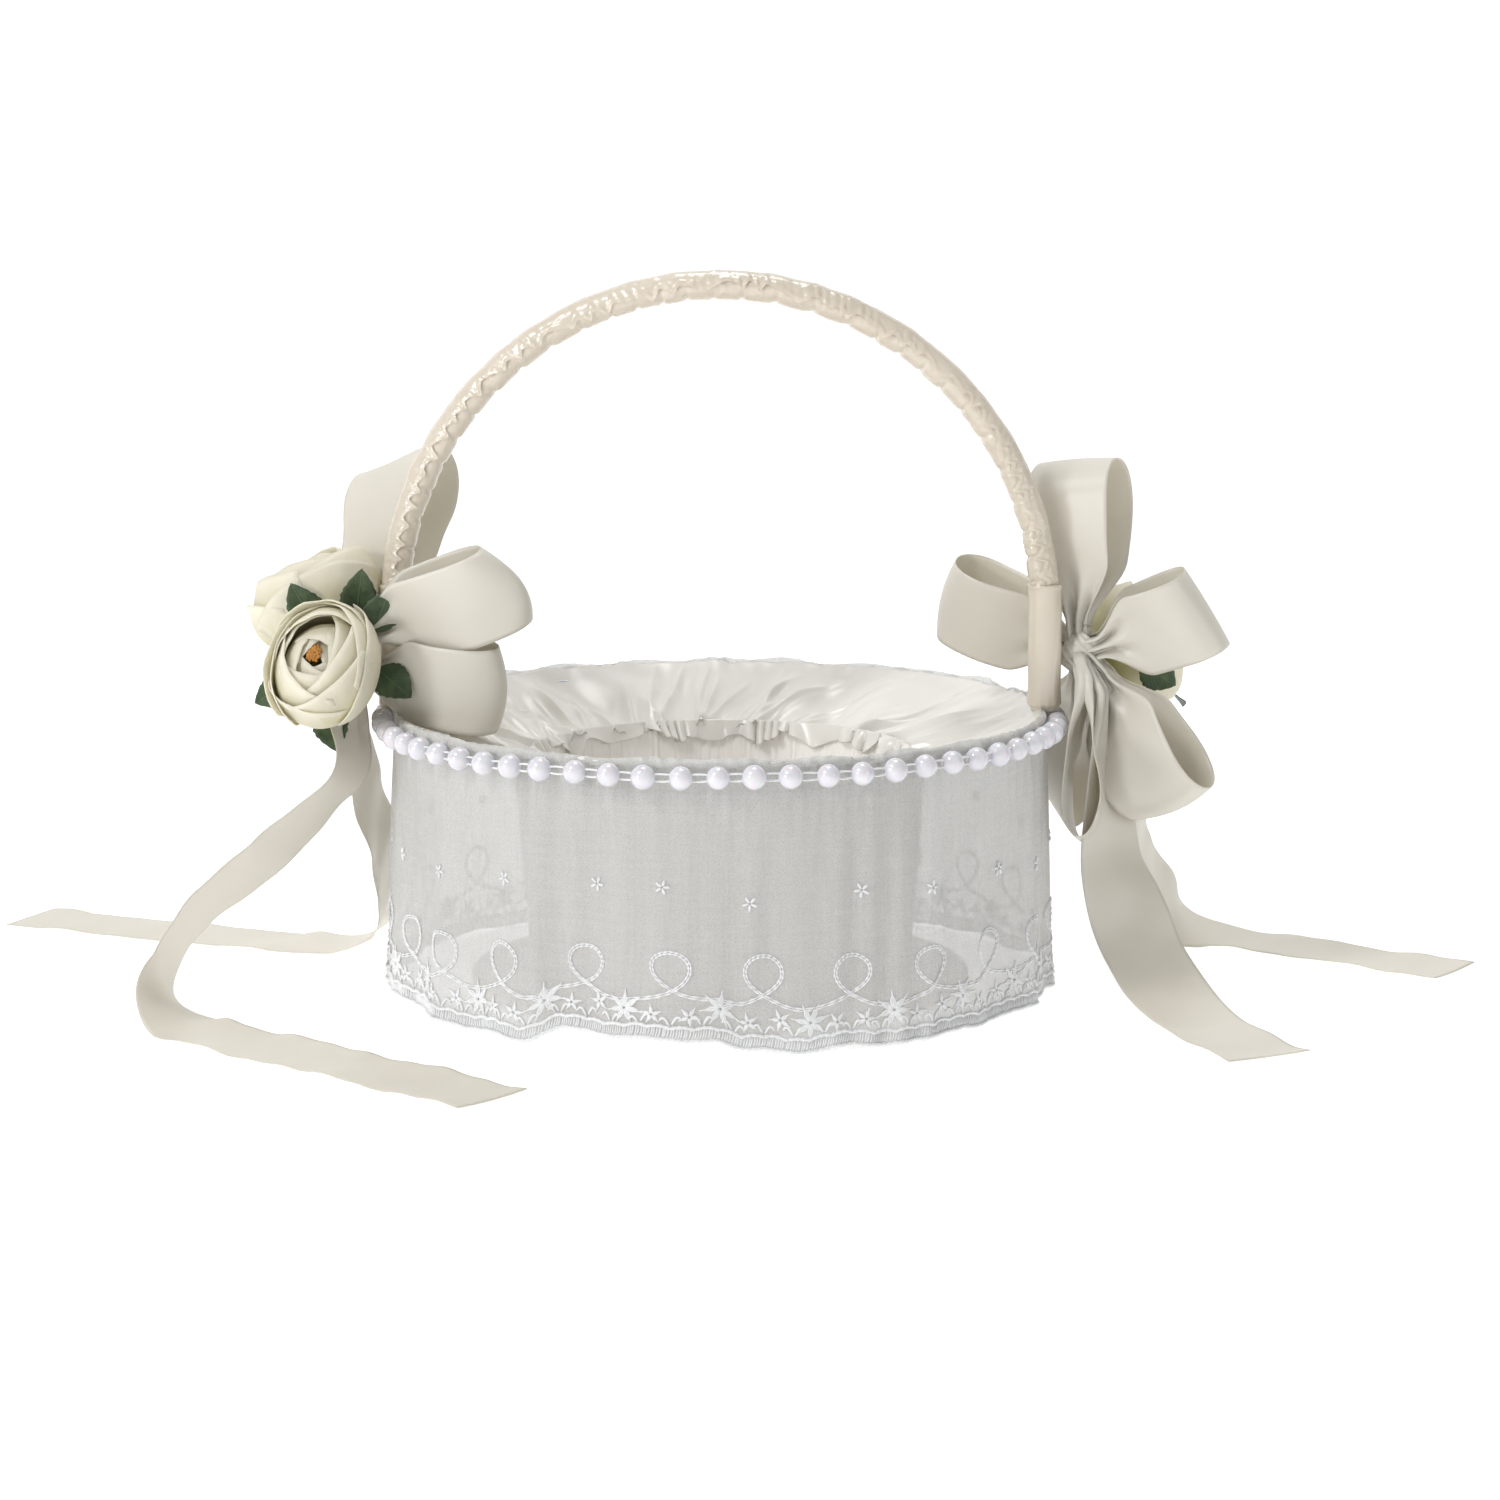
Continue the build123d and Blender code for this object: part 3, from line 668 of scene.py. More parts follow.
def skirt_point(angle, share):
    """A point of the skirt: share is 0 at the rim and 1 at the hem."""
    angle, share = np.broadcast_arrays(np.asarray(angle, float), np.asarray(share, float))
    folds = SKIRT_FOLD_DEPTH * SKIRT_FOLDS(angle + 0.05 * share) * step(share * 1.1)
    creases = SKIRT_CREASE_DEPTH * SKIRT_CREASES(angle + 0.02 * share) * step(share * 3)
    creases = creases * (1.15 - 0.5 * share)
    gathers = SKIRT_GATHER_DEPTH * SKIRT_GATHER(angle) * (1 - step(share / 0.35))
    radius = COLLAR_RADIUS + SKIRT_GAP + (SKIRT_HEM_RADIUS - COLLAR_RADIUS - SKIRT_GAP) * share
    radius = radius + folds + creases + gathers
    z = SKIRT_TOP_Z - SKIRT_START_DROP + (hem_height(angle) - SKIRT_TOP_Z + SKIRT_START_DROP) * share
    return polar(angle, radius, z)


def on_skirt(along, height, out=0.0):
    """A point at a distance along the hem and a height above it, in mm, standing out from the cloth."""
    angle = np.asarray(along, float) / SKIRT_HEM_RADIUS - math.pi / 2
    share = 1 - np.asarray(height, float) / SKIRT_TOP_Z
    return skirt_point(angle, share) + polar(angle, out, 0.0)


def lace_heading():
    """The narrow gathered edge of the tulle that stands up behind the pearls."""
    rng = np.random.default_rng(33)
    columns, rows = 1500, 8
    angle = around(columns)
    share = column(rows)
    crimp = ring_waves(rng, 90, 150, 14)(angle)
    sway = ring_waves(rng, 8, 30, 9)(angle)
    radius = COLLAR_RADIUS + 0.9 + (0.55 * crimp + 0.5 * sway) * share - 0.8 * share ** 2
    z = SKIRT_TOP_Z - 1.0 + (2.3 + 0.6 * sway) * share
    return grid_object("lace_heading", polar(angle, radius, z), "lace", wrap=True)


def scroll_threads():
    """The embroidered line that runs round the skirt and turns a full ring in every repeat."""
    steps = 112
    t = np.arange(HEM_REPEATS * steps) / steps
    along = REPEAT * t + SCROLL_REACH * np.sin(TAU * t)
    wobble = 0.6 * np.sin(TAU * t / 3 + 0.7)
    height = SCROLL_LIFT + wobble - SCROLL_RING * np.cos(TAU * t)
    paths, radii = [], []
    for offset in (-0.32, 0.32):
        paths.append(on_skirt(along + offset * np.sin(TAU * t), height - offset * np.cos(TAU * t), 0.3))
        stitches = 28
        radii.append(0.23 + 0.13 * np.cos(TAU * t * stitches + 2 * offset))
    return paths, radii


def star(middle, lift, size, turn, points):
    """One star flower: three satin stitches to each point."""
    paths, radii = [], []
    for point in range(points):
        a = turn + point * TAU / points
        for side in (-0.26, 0.0, 0.26):
            r = np.linspace(0.4, size * (1 - abs(side)), 7)
            swing = side * np.sin(np.linspace(0, math.pi, 7)) * size * 0.36
            x = middle + r * math.cos(a) - swing * math.sin(a)
            z = lift + r * math.sin(a) + swing * math.cos(a)
            paths.append(on_skirt(x, z, 0.4))
            radii.append(np.linspace(0.40, 0.18, 7))
    return paths, radii


def star_threads(rng):
    """A large star flower under every ring of the scroll, with a small one at each side of it."""
    paths, radii = [], []
    for k in range(HEM_REPEATS):
        middle = REPEAT * (k + 0.03 * rng.standard_normal())
        for x, z, size, points in ((middle, STAR_LIFT, 5.6, 7),
                                   (middle + 0.30 * REPEAT, STAR_LIFT - 2.0, 3.0, 5),
                                   (middle - 0.33 * REPEAT, STAR_LIFT - 1.2, 3.2, 5)):
            more = star(x, z + 0.5 * rng.standard_normal(), size, rng.uniform(0, TAU), points)
            paths += more[0]
            radii += more[1]
    return paths, radii


def sprig_threads(rng):
    """Small leaves that fill the space between the stars and the hem, and the scattered sprigs above."""
    paths, radii = [], []
    for k in range(HEM_REPEATS * 3):
        middle = REPEAT * (k + 0.5) / 3
        for side in (-1, 1):
            x = middle + side * np.linspace(0.3, 3.0, 8)
            z = 4.6 + 2.4 * np.sin(np.linspace(0, math.pi * 0.8, 8)) + 0.4 * rng.standard_normal()
            paths.append(on_skirt(x, z, 0.4))
            radii.append(0.22 + 0.22 * np.sin(np.linspace(0.2, math.pi - 0.2, 8)))
    for k in range(HEM_REPEATS):
        middle = REPEAT * (k + 0.5 + 0.12 * rng.standard_normal())
        lift = SCATTER_LIFT + 1.5 * rng.standard_normal()
        turn = rng.uniform(0, TAU)
        arms = 5
        for arm in range(arms):
            a = turn + arm * TAU / arms
            r = np.linspace(0.3, 2.1, 5)
            paths.append(on_skirt(middle + r * math.cos(a), lift + r * math.sin(a), 0.3))
            radii.append(0.18 + 0.26 * np.sin(np.linspace(0.3, math.pi - 0.4, 5)))
    return paths, radii


def hem_threads():
    """The dense corded edge: two scalloped cords with a zigzag of satin stitch between them."""
    steps = HEM_REPEATS * 60
    t = np.arange(steps) / steps
    along = HEM_LENGTH * t
    scallop = 0.6 * np.abs(np.sin(along * math.pi / HEM_SCALLOP))
    paths = [on_skirt(along, 0.5 - 0.3 * scallop, 0.75), on_skirt(along, 3.6 + scallop, 0.65)]
    radii = [0.5 + 0.12 * np.cos(TAU * t * steps / 4)] * 2
    return paths, radii


def hem_stitches(rng):
    """Short slanting satin stitches that fill the band between the two cords."""
    paths = []
    stitch_spacing = 0.72
    for along in np.arange(0, HEM_LENGTH, stitch_spacing):
        top = HEM_BAND_TOP + 0.6 * abs(math.sin(along * math.pi / HEM_SCALLOP))
        x = along + rng.uniform(-0.15, 0.15)
        paths.append(on_skirt([x, x + 0.45, x + 0.7], [0.6, 0.5 * top, top], 0.6))
    return paths, [0.24] * len(paths)


def lace_skirt():
    """The tulle from the rim to the hem, with all that is sewn to it."""
    columns, rows = 1500, 60
    grid = skirt_point(around(columns), column(rows))
    tulle_piece = grid_object("skirt_tulle", grid, "lace", wrap=True)
    rng = np.random.default_rng(32)
    scroll = tubes_object("lace_scroll", *scroll_threads(), "lace", "thread", closed=True)
    star_paths, star_radii = star_threads(rng)
    sprig_paths, sprig_radii = sprig_threads(rng)
    flowers = tubes_object("lace_flowers", star_paths + sprig_paths, star_radii + sprig_radii,
                           "lace", "thread", corners=5)
    edging = tubes_object("lace_edging", *hem_threads(), "lace", "thread", closed=True)
    stitches = tubes_object("lace_stitches", *hem_stitches(rng), "lace", "thread", corners=5)
    declare_sheet(tulle_piece, "lace_skirt", area_of(grid, True) / SKIRT_TOP_Z, SKIRT_TOP_Z, "hung",
                  ["rim_ring"], with_pieces=[scroll, flowers, edging, stitches, lace_heading()])
    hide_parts("skirt_hem_edging")


lace_skirt()


# ---- pearl edging ----
def ball(corners, rings):
    """Unit ball as points and faces."""
    latitude = np.linspace(-math.pi / 2, math.pi / 2, rings + 2)[1:-1]
    angle = around(corners)
    body = polar(angle, np.cos(latitude)[:, None], np.sin(latitude)[:, None]).reshape(-1, 3)
    points = np.concatenate([body, [[0, 0, -1], [0, 0, 1]]])
    faces = grid_faces(rings, corners, True)
    south, north, top = rings * corners, rings * corners + 1, (rings - 1) * corners
    for c in range(corners):
        d = (c + 1) % corners
        faces.append((south, d, c))
        faces.append((north, top + c, top + d))
    return points, faces


def balls_object(name, places, radii, slot, corners, rings):
    """Many balls as one object."""
    points, faces = ball(corners, rings)
    every_point, every_face = [], []
    for k, (place, radius) in enumerate(zip(places, radii)):
        every_point.append(np.asarray(place) + points * radius)
        every_face += [tuple(i + k * len(points) for i in f) for f in faces]
    return add_object(name, np.concatenate(every_point), every_face, slot)


def pearl_string():
    """The pearls, each a little out of line, and the two threads that run between and round them."""
    rng = np.random.default_rng(41)
    sway = ring_waves(rng, 3, 12, 6)

    def height(angle):
        """Height of the string, which rides up a little at the left side."""
        raised = 1.32 * np.exp(-((np.abs(angle - math.pi) / 0.34) ** 2))
        return PEARL_Z + 0.35 * sway(angle) + raised

    angle = (np.arange(PEARL_COUNT) + 0.5) * TAU / PEARL_COUNT
    places = polar(angle + rng.normal(0, 0.0035, PEARL_COUNT), PEARL_RING_RADIUS, height(angle))
    radii = rng.normal(PEARL_RADIUS - 0.05, 0.07, PEARL_COUNT)
    pearls = balls_object("pearls", places, radii, "pearl", corners=24, rings=15)
    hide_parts("rim_pearls")
    fine = around(PEARL_COUNT * 10)
    between = np.abs(np.cos((fine * PEARL_COUNT) / 2))
    threads = [polar(fine, PEARL_RING_RADIUS - 0.2, height(fine) + side * (0.35 + 0.65 * between))
               for side in (-1, 1)]
    string = tubes_object("pearl_strings", threads, [PEARL_THREAD_RADIUS] * 2, "thread", closed=True)
    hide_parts("pearl_threads")


pearl_string()


# ---- handle ----
SEAM_ANGLE = math.radians(82)   # from the outside of the arch round to the front


def handle_line(distance):
    """Centre and outward direction of the handle at a distance along its arch from the right springing."""
    angle = np.asarray(distance, float) / HANDLE_RADIUS
    out = stacked(np.cos(angle), 0 * angle, np.sin(angle))
    return out * HANDLE_RADIUS + np.array([0, 0, HANDLE_CENTRE_Z]), out


def handle_cover():
    """A strip of satin wound round the foam, its gathered edge lapping over itself along the front."""
    rng = np.random.default_rng(51)
    band = (BAND_TOP_Z - HANDLE_CENTRE_Z) - 1.0
    length = math.pi * HANDLE_RADIUS
    rows, corners = 1500, 76
    along = column(rows, band, length - band)
    lap = 0.22
    round_it = np.linspace(-lap, TAU + lap, corners)[None]
    centre, out = handle_line(along[:, 0])
    gather_spacing = 4.6 + 4.2 * np.sin(math.pi * along / length) ** 2
    phase = np.cumsum(np.full_like(along, along[1, 0] - along[0, 0]) / gather_spacing, axis=0)
    phase = phase + 0.25 * line_waves(rng, 18, 50, 4)(along)
    tooth = np.cos(TAU * phase) + 0.3 * np.cos(2 * TAU * phase + 0.8)
    tooth = tooth * (0.8 + 0.35 * line_waves(rng, 9, 25, 4)(along))
    wander = line_waves(rng, 60, 140, 3)(along)
    seam = SEAM_ANGLE + 0.27 * tooth + 0.18 * wander
    turn = seam + round_it
    from_lap = TAU + lap - round_it
    over = 0.40 * step((round_it - TAU + 0.30) / 0.28)
    rolled = 0.20 * np.exp(-(from_lap / 0.09) ** 2)
    near = np.exp(-(from_lap / 1.1) ** 2) + 0.8 * np.exp(-((round_it + lap) / 1.0) ** 2)
    ruck = np.cos(TAU * phase + 0.9 * from_lap) + 0.5 * line_waves(rng, 2.4, 4.5, 6)(along + 1.2 * round_it)
    soft = line_waves(rng, 9, 26, 7)(along + 2.0 * np.cos(turn))
    diagonal = line_waves(rng, 30, 70, 6)(along - 6.5 * round_it)
    inner = 0.5 - 0.5 * np.cos(turn)
    dent = np.exp(-(np.sin(math.pi * (along / 9.1 + 0.3 * wander)) / 0.3) ** 2)
    radius = (HANDLE_TUBE - 0.62 + over + rolled + 0.17 * ruck * near + 0.13 * soft
              + 0.13 * np.exp(-(diagonal / 0.07) ** 2) + (0.22 - 0.6 * dent) * inner ** 2)
    front = np.array([0, -1.0, 0])
    grid = (centre[:, None] + radius[..., None] * (np.cos(turn)[..., None] * out[:, None]
                                                   + np.sin(turn)[..., None] * front))
    piece = grid_object("handle_cover", grid, "handle_satin")
    gathered_in = 1.1
    declare_sheet(piece, "handle_satin_cover", (TAU + 2 * lap) * HANDLE_TUBE,
                  (length - 2 * band) * gathered_in, "gathered", ["handle_foam"])


def foot_band(name, side, seed):
    """Plain satin wound smoothly round the foot of the handle and gathered in at its lower end."""
    rng = np.random.default_rng(seed)
    rows, corners = 150, 64
    height = column(rows, BAND_LOW_Z - 1.2, BAND_TOP_Z)
    turn = around(corners)[None]
    above = np.maximum(height - HANDLE_CENTRE_Z, 0)
    centre_x = side * np.sqrt(np.maximum(HANDLE_RADIUS ** 2 - above ** 2, 0))
    soft = line_waves(rng, 12, 30, 5)(height + 1.5 * np.sin(turn)) * 0.10
    gathers = 0.16 * np.cos(13 * turn + rng.uniform(0, TAU)) * (1 - step((height - BAND_LOW_Z + 1.2) / 7.0))
    edge_roll = 0.24 * np.exp(-((height - BAND_TOP_Z + 0.7) / 0.5) ** 2)
    tuck = -1.1 * step((BAND_LOW_Z + 0.8 - height) / 2.0)
    seam = 0.20 * step((turn - 3.4 - 0.02 * height) / 0.12) * (1 - step((turn - 5.6) / 0.6))
    radius = BAND_TUBE - 0.1 + soft + gathers + edge_roll + tuck + seam
    grid = stacked(centre_x + radius * np.cos(turn), radius * np.sin(turn), height)
    lid = grid[-1:].copy()
    lid[..., :2] = (lid[..., :2] - [centre_x[-1, 0], 0]) * 0.86 + [centre_x[-1, 0], 0]
    lid[..., 2] -= 0.2
    grid = np.concatenate([grid, lid])
    piece = grid_object(name, grid, "handle_satin", wrap=True)
    declare_sheet(piece, name.replace("_wrap", ""), TAU * BAND_TUBE, BAND_TOP_Z - BAND_LOW_Z + 1.5,
                  "stretched", ["handle_cover"])


def handle_padding():
    """The foam round the handle's wire: a soft tube, a little uneven along its length."""
    rng = np.random.default_rng(54)
    low, high = span("handle_foam")
    angle = np.linspace(math.pi, 0, 161)
    arch = stacked(HANDLE_RADIUS * np.cos(angle), 0 * angle, HANDLE_CENTRE_Z + HANDLE_RADIUS * np.sin(angle))
    rise = np.linspace(low[2], HANDLE_CENTRE_Z, 9)[:-1]
    leg = stacked(HANDLE_RADIUS, 0 * rise, rise)
    path = np.concatenate([leg * (-1, 1, 1), arch, leg[::-1]])
    radius = high[1] - 0.1 + 0.06 * line_waves(rng, 3, 14, 8)(np.arange(len(path)) * 2.0)
    piece = tubes_object("handle_padding", [path], [radius], "foam", corners=24)
    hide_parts("handle_foam")


handle_padding()
handle_cover()
foot_band("right_foot_band_wrap", 1, 52)
foot_band("left_foot_band_wrap", -1, 53)


# ---- ribbons ----
LEAD_SHARES = (0.25, 0.5, 0.75)   # places of a ribbon's hidden points between the knot's middle and its end
LEAD = len(LEAD_SHARES)


def knot_of(node):
    """The knot of the bow that a loop or tail belongs to."""
    return node.split("_")[0] + "_bow_knot"


def ribbon(node, centres, sides, grow, seed, held, round_tip=None):
    """A satin ribbon along a line of centres and across directions. It is drawn in to folds where grow is 0
    and at its full width where grow is 1."""
    widths = RIBBON_PINCHED + (RIBBON_WIDTH - RIBBON_PINCHED) * grow
    tight = 1 - grow
    rng = np.random.default_rng(seed)
    tangent = unit(np.gradient(centres, axis=0))
    side = unit(sides - tangent * (sides * tangent).sum(1, keepdims=True))
    normal = np.cross(tangent, side)
    v = np.linspace(-1, 1, 21)
    along = np.concatenate([[0], np.cumsum(np.linalg.norm(np.diff(centres, axis=0), axis=1))])
    phase = rng.uniform(0, TAU)
    folds = (1.9 * tight[:, None] + 0.35 * np.sqrt(tight[:, None])) * np.cos(v * 2.5 * math.pi + phase)
    loose = 1 - tight[:, None]
    ripple = 0.30 * line_waves(rng, 14, 40, 4)(along)[:, None] * np.cos(v * 1.3 + phase) * loose
    dents = 0.5 * line_waves(rng, 22, 60, 4)(along)[:, None] * v * loose
    cup = 0.4 * (v ** 2 - 0.4) * loose
    points = (centres[:, None] + side[:, None] * (v * widths[:, None] / 2)[..., None]
              + normal[:, None] * (folds + ripple + dents + cup)[..., None])
    if round_tip is not None:
        points = points + round_tip[:, None] * (1 - v ** 2)[:, None]
    points[..., 2] = np.maximum(points[..., 2], 0.25)
    uv = stacked(v[None] * RIBBON_WIDTH / 2, along[:, None])
    name = node.replace("_bow", "") + "_ribbon"
    piece = grid_object(name, points, "ribbon_satin", uv=uv, thickness=RIBBON_THICKNESS)
    declare_sheet(piece, node, RIBBON_WIDTH, along[-1], held, [knot_of(node)])


def into_knot(node, end):
    """Points that carry a ribbon's end on into the knot, from the inside out."""
    low, high = span(knot_of(node))
    middle = (low + high) / 2
    return [middle + (end - middle) * s for s in LEAD_SHARES]


def loop(name, seed, root, tip, across, opening, skew, bulge_out):
    """One loop of a bow: out from the knot to the tip and back, open in the middle."""
    root, tip = np.array(root, float), np.array(tip, float)
    length = np.linalg.norm(tip - root)
    out = (tip - root) / length
    side = unit(np.array(across) - out * np.dot(across, out))
    bulge = np.cross(out, side)
    turn = np.linspace(0, TAU, 81)
    reach = (1 - np.cos(turn)) / 2
    swell = np.sin(turn) * reach / 0.65
    away = opening / 2 * swell + np.cos(turn / 2)
    centres = root + out * (length * reach)[:, None] + bulge * away[:, None]
    sides = side + out * (skew * reach ** 2)[:, None]
    rounding = out * (bulge_out * reach ** 4)[:, None]
    lead_in, lead_out = into_knot(name, centres[0]), into_knot(name, centres[-1])
    hidden = np.zeros((LEAD, 3))
    ribbon(name, np.concatenate([lead_in, centres, lead_out[::-1]]),
           np.concatenate([sides[:1].repeat(LEAD, 0), sides, sides[-1:].repeat(LEAD, 0)]),
           np.concatenate([hidden[:, 0], step(reach / 0.4), hidden[:, 0]]), seed, "folded",
           np.concatenate([hidden, rounding, hidden]))


def smooth_line(values, steps):
    """Catmull-Rom points through a list of rows."""
    values = np.array(values, float)
    padded = np.concatenate([values[:1], values, values[-1:]])
    t = (np.arange(steps) / steps)[:, None]
    found = []
    for i in range(len(values) - 1):
        p0, p1, p2, p3 = padded[i:i + 4]
        found.append((p1 * 2 + (p2 - p0) * t + (p0 * 2 - p1 * 5 + p2 * 4 - p3) * t ** 2
                      + (p1 * 3 - p0 - p2 * 3 + p3) * t ** 3) * 0.5)
    return np.concatenate(found + [values[-1:]])


def tail(name, stations, seed):
    """One hanging end of a bow through its stations, at full width from a little way below the knot."""
    line = smooth_line(stations, 12)
    centres = np.concatenate([into_knot(name, line[0, :3]), line[:, :3]])
    sides = np.concatenate([line[:1, 3:].repeat(LEAD, 0), line[:, 3:]])
    grow = np.concatenate([[0] * LEAD, step(np.arange(len(line)) / 18)])
    ribbon(name, centres, sides, grow, seed, "hung")


# name: root at the knot, tip, direction across the ribbon, opening between its two sides, skew at the tip,
# and how far the middle of the fold stands out beyond its corners
LOOPS = {
    "left_bow_top_loop": ((-101, 11, 102), (-91, 30, 147), (0.75, -0.50, 0.10), 17, 0.45, 2.0),
    "left_bow_upper_loop": ((-101, -13.5, 103), (-60, -26, 118), (0.50, 0.15, -0.85), 12, 0.25, 5.0),
    "left_bow_lower_loop": ((-100, -9.5, 91), (-63, -22, 88), (0.15, 0.10, -0.98), 12, 0.00, 3.0),
    "right_bow_top_loop": ((103, 6, 102.5), (104, 15, 149), (0.85, -0.50, 0.10), 17, 0.00, 1.0),
    "right_bow_inner_loop": ((101, 10.5, 96), (67, 25, 109), (0.33, 0.10, -0.94), 14, 0.00, 2.0),
    "right_bow_outer_loop": ((109, 2, 97), (139, -3, 109), (0.35, 0.10, -0.93), 14, 0.20, 1.0),
    "right_bow_lower_loop": ((110, 1, 88), (129, -13, 54), (0.75, -0.45, 0.50), 18, 0.15, 2.5),
    "right_bow_hanging_loop": ((105, -4, 88), (104, -16, 44), (0.20, 0.98, 0.00), 9, 0.00, 1.0),
    "right_bow_back_loop": ((105, 12, 89), (100, 37, 46), (-0.35, 0.94, 0.00), 9, 0.00, 1.0),
}
# x, y, z, then the direction across the ribbon
TAILS = {
    "left_bow_front_tail": [
        (-106, -9, 91, 0.4, 0.92, 0), (-105, -14, 77, 0.3, 0.95, 0), (-107, -24, 62, 0.3, 0.95, -0.1),
        (-127, -33, 43, 0.29, 0.87, -0.39), (-146, -42, 28, 0.25, 0.92, -0.3),
        (-155, -50, 12, 0.15, 0.98, -0.12), (-149, -61, 2, 0.35, 0.93, 0), (-133, -76, 0.6, 0.6, 0.8, 0),
        (-108, -97, 0.6, 0.69, 0.72, 0), (-82, -119, 0.6, 0.69, 0.72, 0), (-57, -141, 0.6, 0.6, 0.8, 0)],
    "left_bow_back_tail": [
        (-104, -2, 90, 0.2, 0.98, 0), (-105, 4, 72, 0.15, 0.99, 0), (-103, 11, 53, 0.22, 0.96, -0.1),
        (-100, 20, 38, 0.2, 0.97, -0.1), (-99, 30, 23, 0.16, 0.98, -0.1), (-101, 38, 9, 0.12, 0.99, -0.05),
        (-111, 42, 1.5, 0.15, 0.99, 0), (-128, 45, 0.6, 0.28, 0.96, 0), (-156, 56, 0.6, 0.38, 0.92, 0),
        (-186, 69, 0.6, 0.38, 0.92, 0), (-216, 83, 0.6, 0.38, 0.92, 0)],
    "right_bow_front_tail": [
        (109, -5, 85, 0.4, 0.92, 0), (110, -9, 68, 0.45, 0.89, 0), (111, -13, 50, 0.62, 0.78, 0),
        (112, -16, 36, 0.78, 0.62, 0), (116, -19, 24, 0.9, 0.42, 0), (121, -23, 12, 0.96, 0.28, 0),
        (127, -32, 3, 0.98, 0.2, 0), (131, -48, 0.6, 0.95, 0.3, 0), (136, -69, 0.6, 0.85, 0.52, 0),
        (147, -97, 0.6, 0.7, 0.7, 0)],
    "right_bow_back_tail": [
        (109, 7, 84, 0.3, 0.95, 0), (113, 11, 64, 0.35, 0.93, 0), (119, 18, 44, 0.42, 0.88, -0.15),
        (126, 31, 28, 0.36, 0.92, -0.12), (133, 43, 16, 0.35, 0.93, -0.05), (140, 50, 6, 0.4, 0.91, 0),
        (152, 51, 1.2, 0.55, 0.83, 0), (168, 42, 0.6, 0.61, 0.79, 0), (191, 24, 0.6, 0.61, 0.79, 0),
        (215, 6, 0.6, 0.61, 0.79, 0)],
}
for seed, (loop_name, placing) in enumerate(LOOPS.items(), start=60):
    loop(loop_name, seed, *placing)
for seed, (tail_name, stations) in enumerate(TAILS.items(), start=80):
    tail(tail_name, stations, seed)


def knot(name, node, lean, seed):
    """The short wrap of ribbon round the middle of a bow: a plump band, creased along its wrap."""
    rng = np.random.default_rng(seed)
    low, high = span(node)
    middle, half = (low + high) / 2, (high - low) / 2
    rows, corners = 44, 64
    level = column(rows, -1.0)
    turn = around(corners)[None]
    creases = line_waves(rng, 0.30, 0.8, 7)(level + 0.16 * np.sin(turn + rng.uniform(0, TAU)))
    plump = 0.72 + 0.30 * np.sqrt(np.maximum(1 - level ** 2, 0)) + 0.07 * creases
    squash = 1 + 0.07 * np.cos(2 * turn + 1.0) + 0.05 * np.cos(3 * turn)
    x = half[0] * plump * squash * np.cos(turn)
    y = half[1] * plump * squash * np.sin(turn)
    local = stacked(x, y, half[2] * 0.92 * level)
    c, s = math.cos(lean), math.sin(lean)
    turned = local @ np.array([[c, 0, -s], [0, 1, 0], [s, 0, c]])
    piece = grid_object(name, turned + middle, "ribbon_satin", wrap=True, thickness=KNOT_THICKNESS)
    tall = half[2] * 2
    declare_sheet(piece, node, tall, area_of(local, True) / tall, "folded",
                  [node.replace("bow_knot", "foot_band")])


knot("left_knot_wrap", "left_bow_knot", math.radians(-20), 91)
knot("right_knot_wrap", "right_bow_knot", math.radians(38), 92)


# ---- silk roses ----
# shell radius and opening radius as shares of the size, petals, half span in degrees, from the outside in
ROSE_RINGS = [
    (1.00, 0.88, 4, 66), (0.96, 0.72, 3, 78), (0.90, 0.57, 3, 76), (0.83, 0.42, 3, 74),
    (0.75, 0.30, 3, 74), (0.66, 0.19, 3, 72), (0.58, 0.11, 2, 95),
]
ROSE_TALL = 1.22


def rose(name, nodes, centre, facing, size, seed):
    """A ranunculus: cupped petals wrapped over each other, closing towards an off-centre heart."""
    rng = np.random.default_rng(seed)
    facing = unit(facing)
    right = unit(np.cross((0.1, 0.2, 1.0), facing))
    up = np.cross(facing, right)
    axes = np.stack([right, up * ROSE_TALL, facing])
    rows, columns = 19, 21
    u = np.linspace(-1, 1, columns)[None]
    v = column(rows)
    patches = []
    for ring, (shell, opening, count, half_span) in enumerate(ROSE_RINGS):
        shift = rng.normal(0, 0.022, 2) * (1 + 0.3 * ring)
        for k in range(count):
            turn = (k + 0.41 * ring) * TAU / count + rng.normal(0, 0.16)
            own = shell + 0.022 * rng.standard_normal() - 0.012 * k
            rim = math.acos(min(opening / shell, 0.98)) + math.radians(rng.normal(0, 4.0))
            rim = rim - math.radians(26 - 2.0 * ring) * u ** 2 + math.radians(7) * u * rng.standard_normal()
            bottom = -math.radians(66)
            latitude = bottom + (rim - bottom) * v
            angle = turn + u * math.radians(half_span) * (1 - 0.3 * (1 - v) ** 2)
            frill = 0.012 * np.sin(u * 6 + rng.uniform(0, TAU)) + 0.008 * np.sin(u * 13 + rng.uniform(0, TAU))
            curl = (0.05 if ring < 3 else 0.02) * step((v - 0.86) / 0.14)
            lap = 0.022 * u
            radius = own * (1 + frill * v ** 2) + curl + lap
            x = radius * np.cos(latitude) * np.cos(angle) + shift[0] * v
            y = radius * np.cos(latitude) * np.sin(angle) + shift[1] * v
            z = radius * np.sin(latitude) * 0.96
            local = stacked(x, y, z)
            depth = 1.0 - 0.95 * (rim - latitude) / (math.pi / 2)
            uv = stacked(u * 0.5 + 0.5, depth)
            patches.append(((local.reshape(-1, 3) * size) @ axes + centre, uv.reshape(-1, 2)))
    piece = patches_object(name, patches, rows, columns, "silk_petal")
    for node in nodes:
        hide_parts(node)
    return axes


